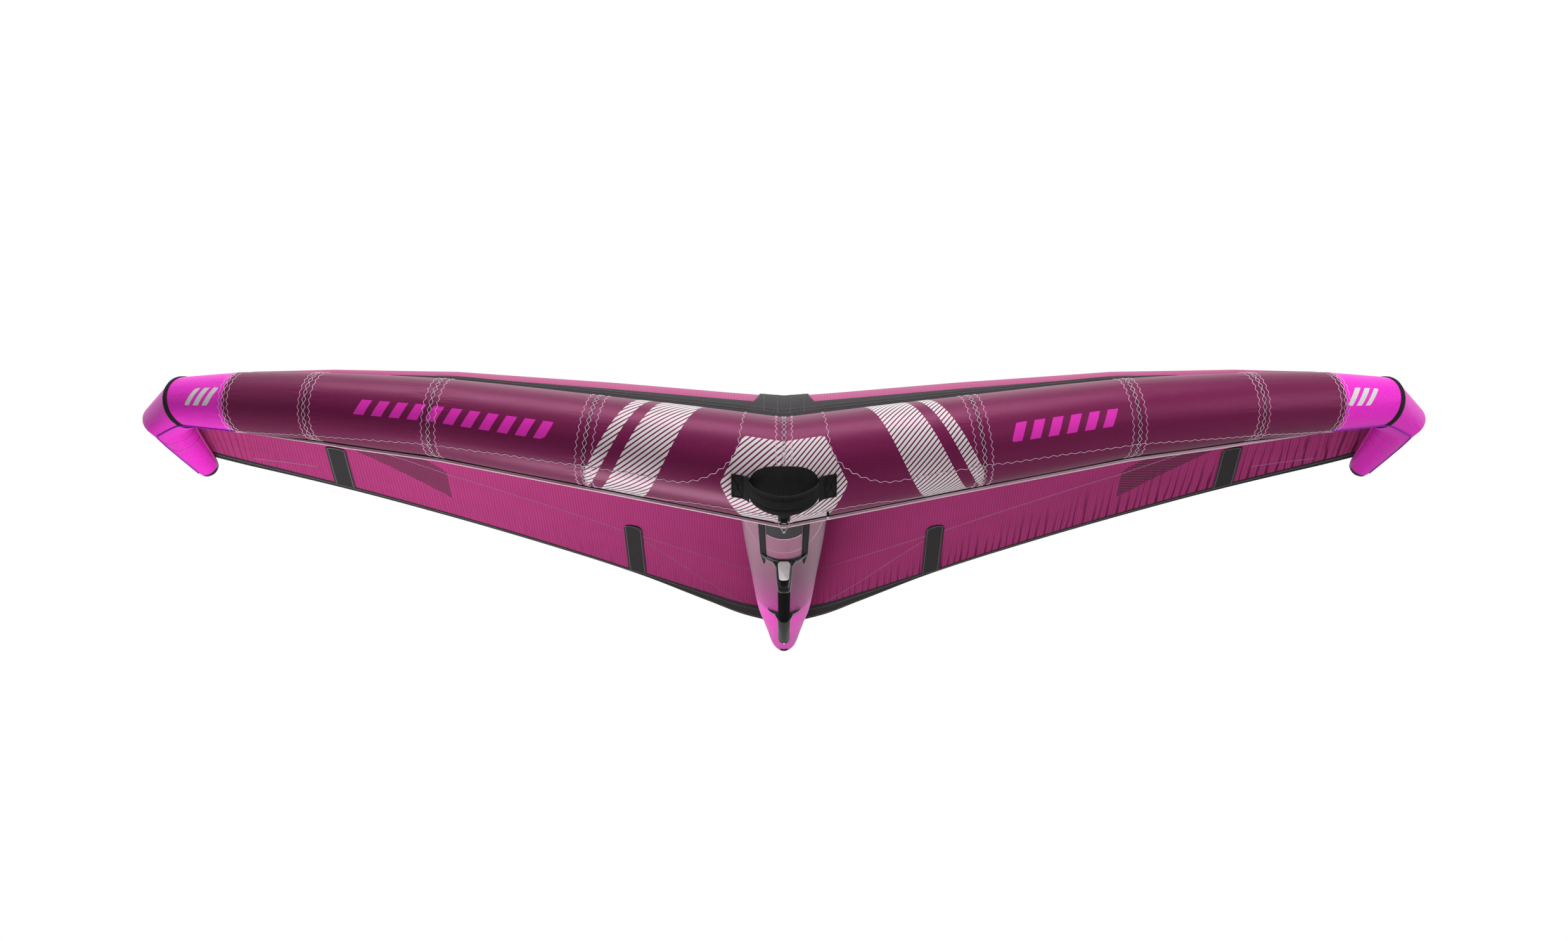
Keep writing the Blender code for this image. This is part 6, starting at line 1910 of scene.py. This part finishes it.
class WING_OT_hose(bpy.types.Operator):
    """Bends the air hose from the leading edge to the strut"""

    bl_idname = "hand_wing.hose"
    bl_label = "Air Hose"

    def execute(self, context):
        share = HOSE_SPAN / TUBE.centres[1].x
        out = TUBE.out(0, HOSE_TURN)
        start = TUBE.centres[1] * share + out * part_way(TUBE.radii[0], TUBE.radii[1], share)
        start, out = mirrored(start, -1), mirrored(out, -1)
        away = Vector((-math.cos(HOSE_LEAN), 0, math.sin(HOSE_LEAN)))
        end = Vector((0, HOSE_PLACE, 0)) + away * strut_radius(HOSE_PLACE)
        controls = (start, start + out * HOSE_REACH, end + away * HOSE_REACH, end)
        route = [start - out * 0.003]
        for t in shares(48):
            weights = ((1 - t) ** 3, 3 * t * (1 - t) ** 2, 3 * t**2 * (1 - t), t**3)
            route.append(sum((c * w for c, w in zip(controls, weights)), Vector()))
        route.append(end - away * 0.003)
        piece = round_curve("air_hose", [route], HOSE_RADIUS, 6)
        dressed(piece, "extruded_hose", "wing", ["inflation_hose"])
        for name, at, way in (("tube_port", start, out), ("strut_port", end, away)):
            deselect()
            bpy.ops.mesh.primitive_cylinder_add(vertices=32, radius=PORT_RADIUS, depth=PORT_DEPTH)
            port = named(bpy.context.object, name)
            bpy.ops.object.mode_set(mode="EDIT")
            bpy.ops.mesh.select_all(action="SELECT")
            bpy.ops.mesh.bevel(offset=0.0016, segments=3)
            bpy.ops.object.mode_set(mode="OBJECT")
            turned = way.to_track_quat("Z", "Y").to_matrix().to_4x4()
            port.matrix_world = Matrix.Translation(at + CARRIER + way * 0.001) @ turned
            settle(port)
            bpy.ops.object.shade_smooth_by_angle(angle=math.radians(40))
            dressed(port, "moulded_tpu")
        run_length(route)
        return {"FINISHED"}


class WING_OT_stage(bpy.types.Operator):
    """Sets the camera that matches the photograph, the soft lamps, the pale floor and the white world"""

    bl_idname = "hand_wing.stage"
    bl_label = "Stage"

    def execute(self, context):
        scene = context.scene
        scene.view_settings.view_transform = "Standard"
        self.camera(scene)
        self.lamp("front_softbox", (-0.3, -2.2, 3.2), (0, -0.4, 0.1), 165, (4.8, 0.45))
        self.lamp("top_softbox", (0, 1.1, 3.6), (0, 0.4, 0.2), 18, (4.0, 2.4))
        self.lamp("side_softbox", (2.9, -2.1, 0.5), (1.1, 0, 0.3), 33, (2.2, 1.4))
        self.lamp("floor_softbox", (-0.95, -0.2, -1.38), (-0.95, -0.2, 0.2), 32, (1.3, 0.4))
        self.floor()
        self.world(scene)
        return {"FINISHED"}

    def camera(self, scene):
        bpy.ops.object.camera_add()
        camera = context_object("photo_camera")
        camera.data.lens = CAMERA_LENS
        camera.data.sensor_width = CAMERA_SENSOR
        ahead = Vector((0, math.cos(CAMERA_TILT), math.sin(CAMERA_TILT)))
        camera.location = CARRIER - ahead * CAMERA_DISTANCE
        camera.rotation_mode = "QUATERNION"
        camera.rotation_quaternion = ahead.to_track_quat("-Z", "Y")
        camera.data.clip_start = 0.05
        scene.camera = camera

    def lamp(self, name, place, target, power, size):
        bpy.ops.object.light_add(type="AREA", location=place)
        lamp = context_object(name)
        lamp.data.shape = "RECTANGLE"
        lamp.data.size, lamp.data.size_y = size
        lamp.data.energy = power
        lamp.visible_camera = False
        lamp.rotation_mode = "QUATERNION"
        lamp.rotation_quaternion = (Vector(target) - Vector(place)).to_track_quat("-Z", "Y")

    def floor(self):
        deselect()
        bpy.ops.mesh.primitive_plane_add(size=60, location=(0, 0, FLOOR_HEIGHT))
        floor = named(bpy.context.object, "floor")
        settle(floor)
        floor.data.materials.append(material("floor_paint"))

    def world(self, scene):
        world = bpy.data.worlds.new("white_room")
        world.use_nodes = True
        scene.world = world
        tree = world.node_tree
        for old in list(tree.nodes):
            tree.nodes.remove(old)
        path = node(tree, "LightPath")
        seen = node(
            tree, "Math", {0: path.outputs["Is Camera Ray"], 1: path.outputs["Is Glossy Ray"]},
            operation="MAXIMUM",
        )
        seen = node(tree, "Math", {0: seen, 1: path.outputs["Is Transmission Ray"]}, operation="MAXIMUM")
        white = node(tree, "Background", {"Color": (1, 1, 1, 1), "Strength": 1.0})
        dim = node(tree, "Background", {"Color": (1, 1, 1, 1), "Strength": 0.32})
        mix = node(tree, "MixShader", {0: seen, 1: dim, 2: white})
        node(tree, "OutputWorld", {0: mix})


OPERATORS = (
    WING_OT_stage,
    WING_OT_bladders,
    WING_OT_leading_edge,
    WING_OT_tips,
    WING_OT_tube_seams,
    WING_OT_strut,
    WING_OT_canopy,
    WING_OT_canopy_seams,
    WING_OT_boom,
    WING_OT_fittings,
    WING_OT_handle,
    WING_OT_leash,
    WING_OT_hose,
)


class WING_PT_panel(bpy.types.Panel):
    """Lists the steps that dress the wing"""

    bl_idname = "WING_PT_panel"
    bl_label = "Hand Wing"
    bl_space_type = "VIEW_3D"
    bl_region_type = "UI"
    bl_category = "Hand Wing"

    def draw(self, context):
        for operator in OPERATORS:
            self.layout.operator(operator.bl_idname)
        for group in (context.scene.wing_sizes, context.scene.wing_colours):
            for name in group.bl_rna.properties.keys():
                if name not in ("rna_type", "name"):
                    self.layout.prop(group, name)


CLASSES = (WingSizes, WingColours, *OPERATORS, WING_PT_panel)


def register():
    for part in CLASSES:
        bpy.utils.register_class(part)
    bpy.types.Scene.wing_sizes = bpy.props.PointerProperty(type=WingSizes)
    bpy.types.Scene.wing_colours = bpy.props.PointerProperty(type=WingColours)


def unregister():
    del bpy.types.Scene.wing_sizes
    del bpy.types.Scene.wing_colours
    for part in reversed(CLASSES):
        bpy.utils.unregister_class(part)


def main():
    register()
    for operator in OPERATORS:
        getattr(bpy.ops.hand_wing, operator.bl_idname.split(".")[1])()


if __name__ == "__main__":
    main()
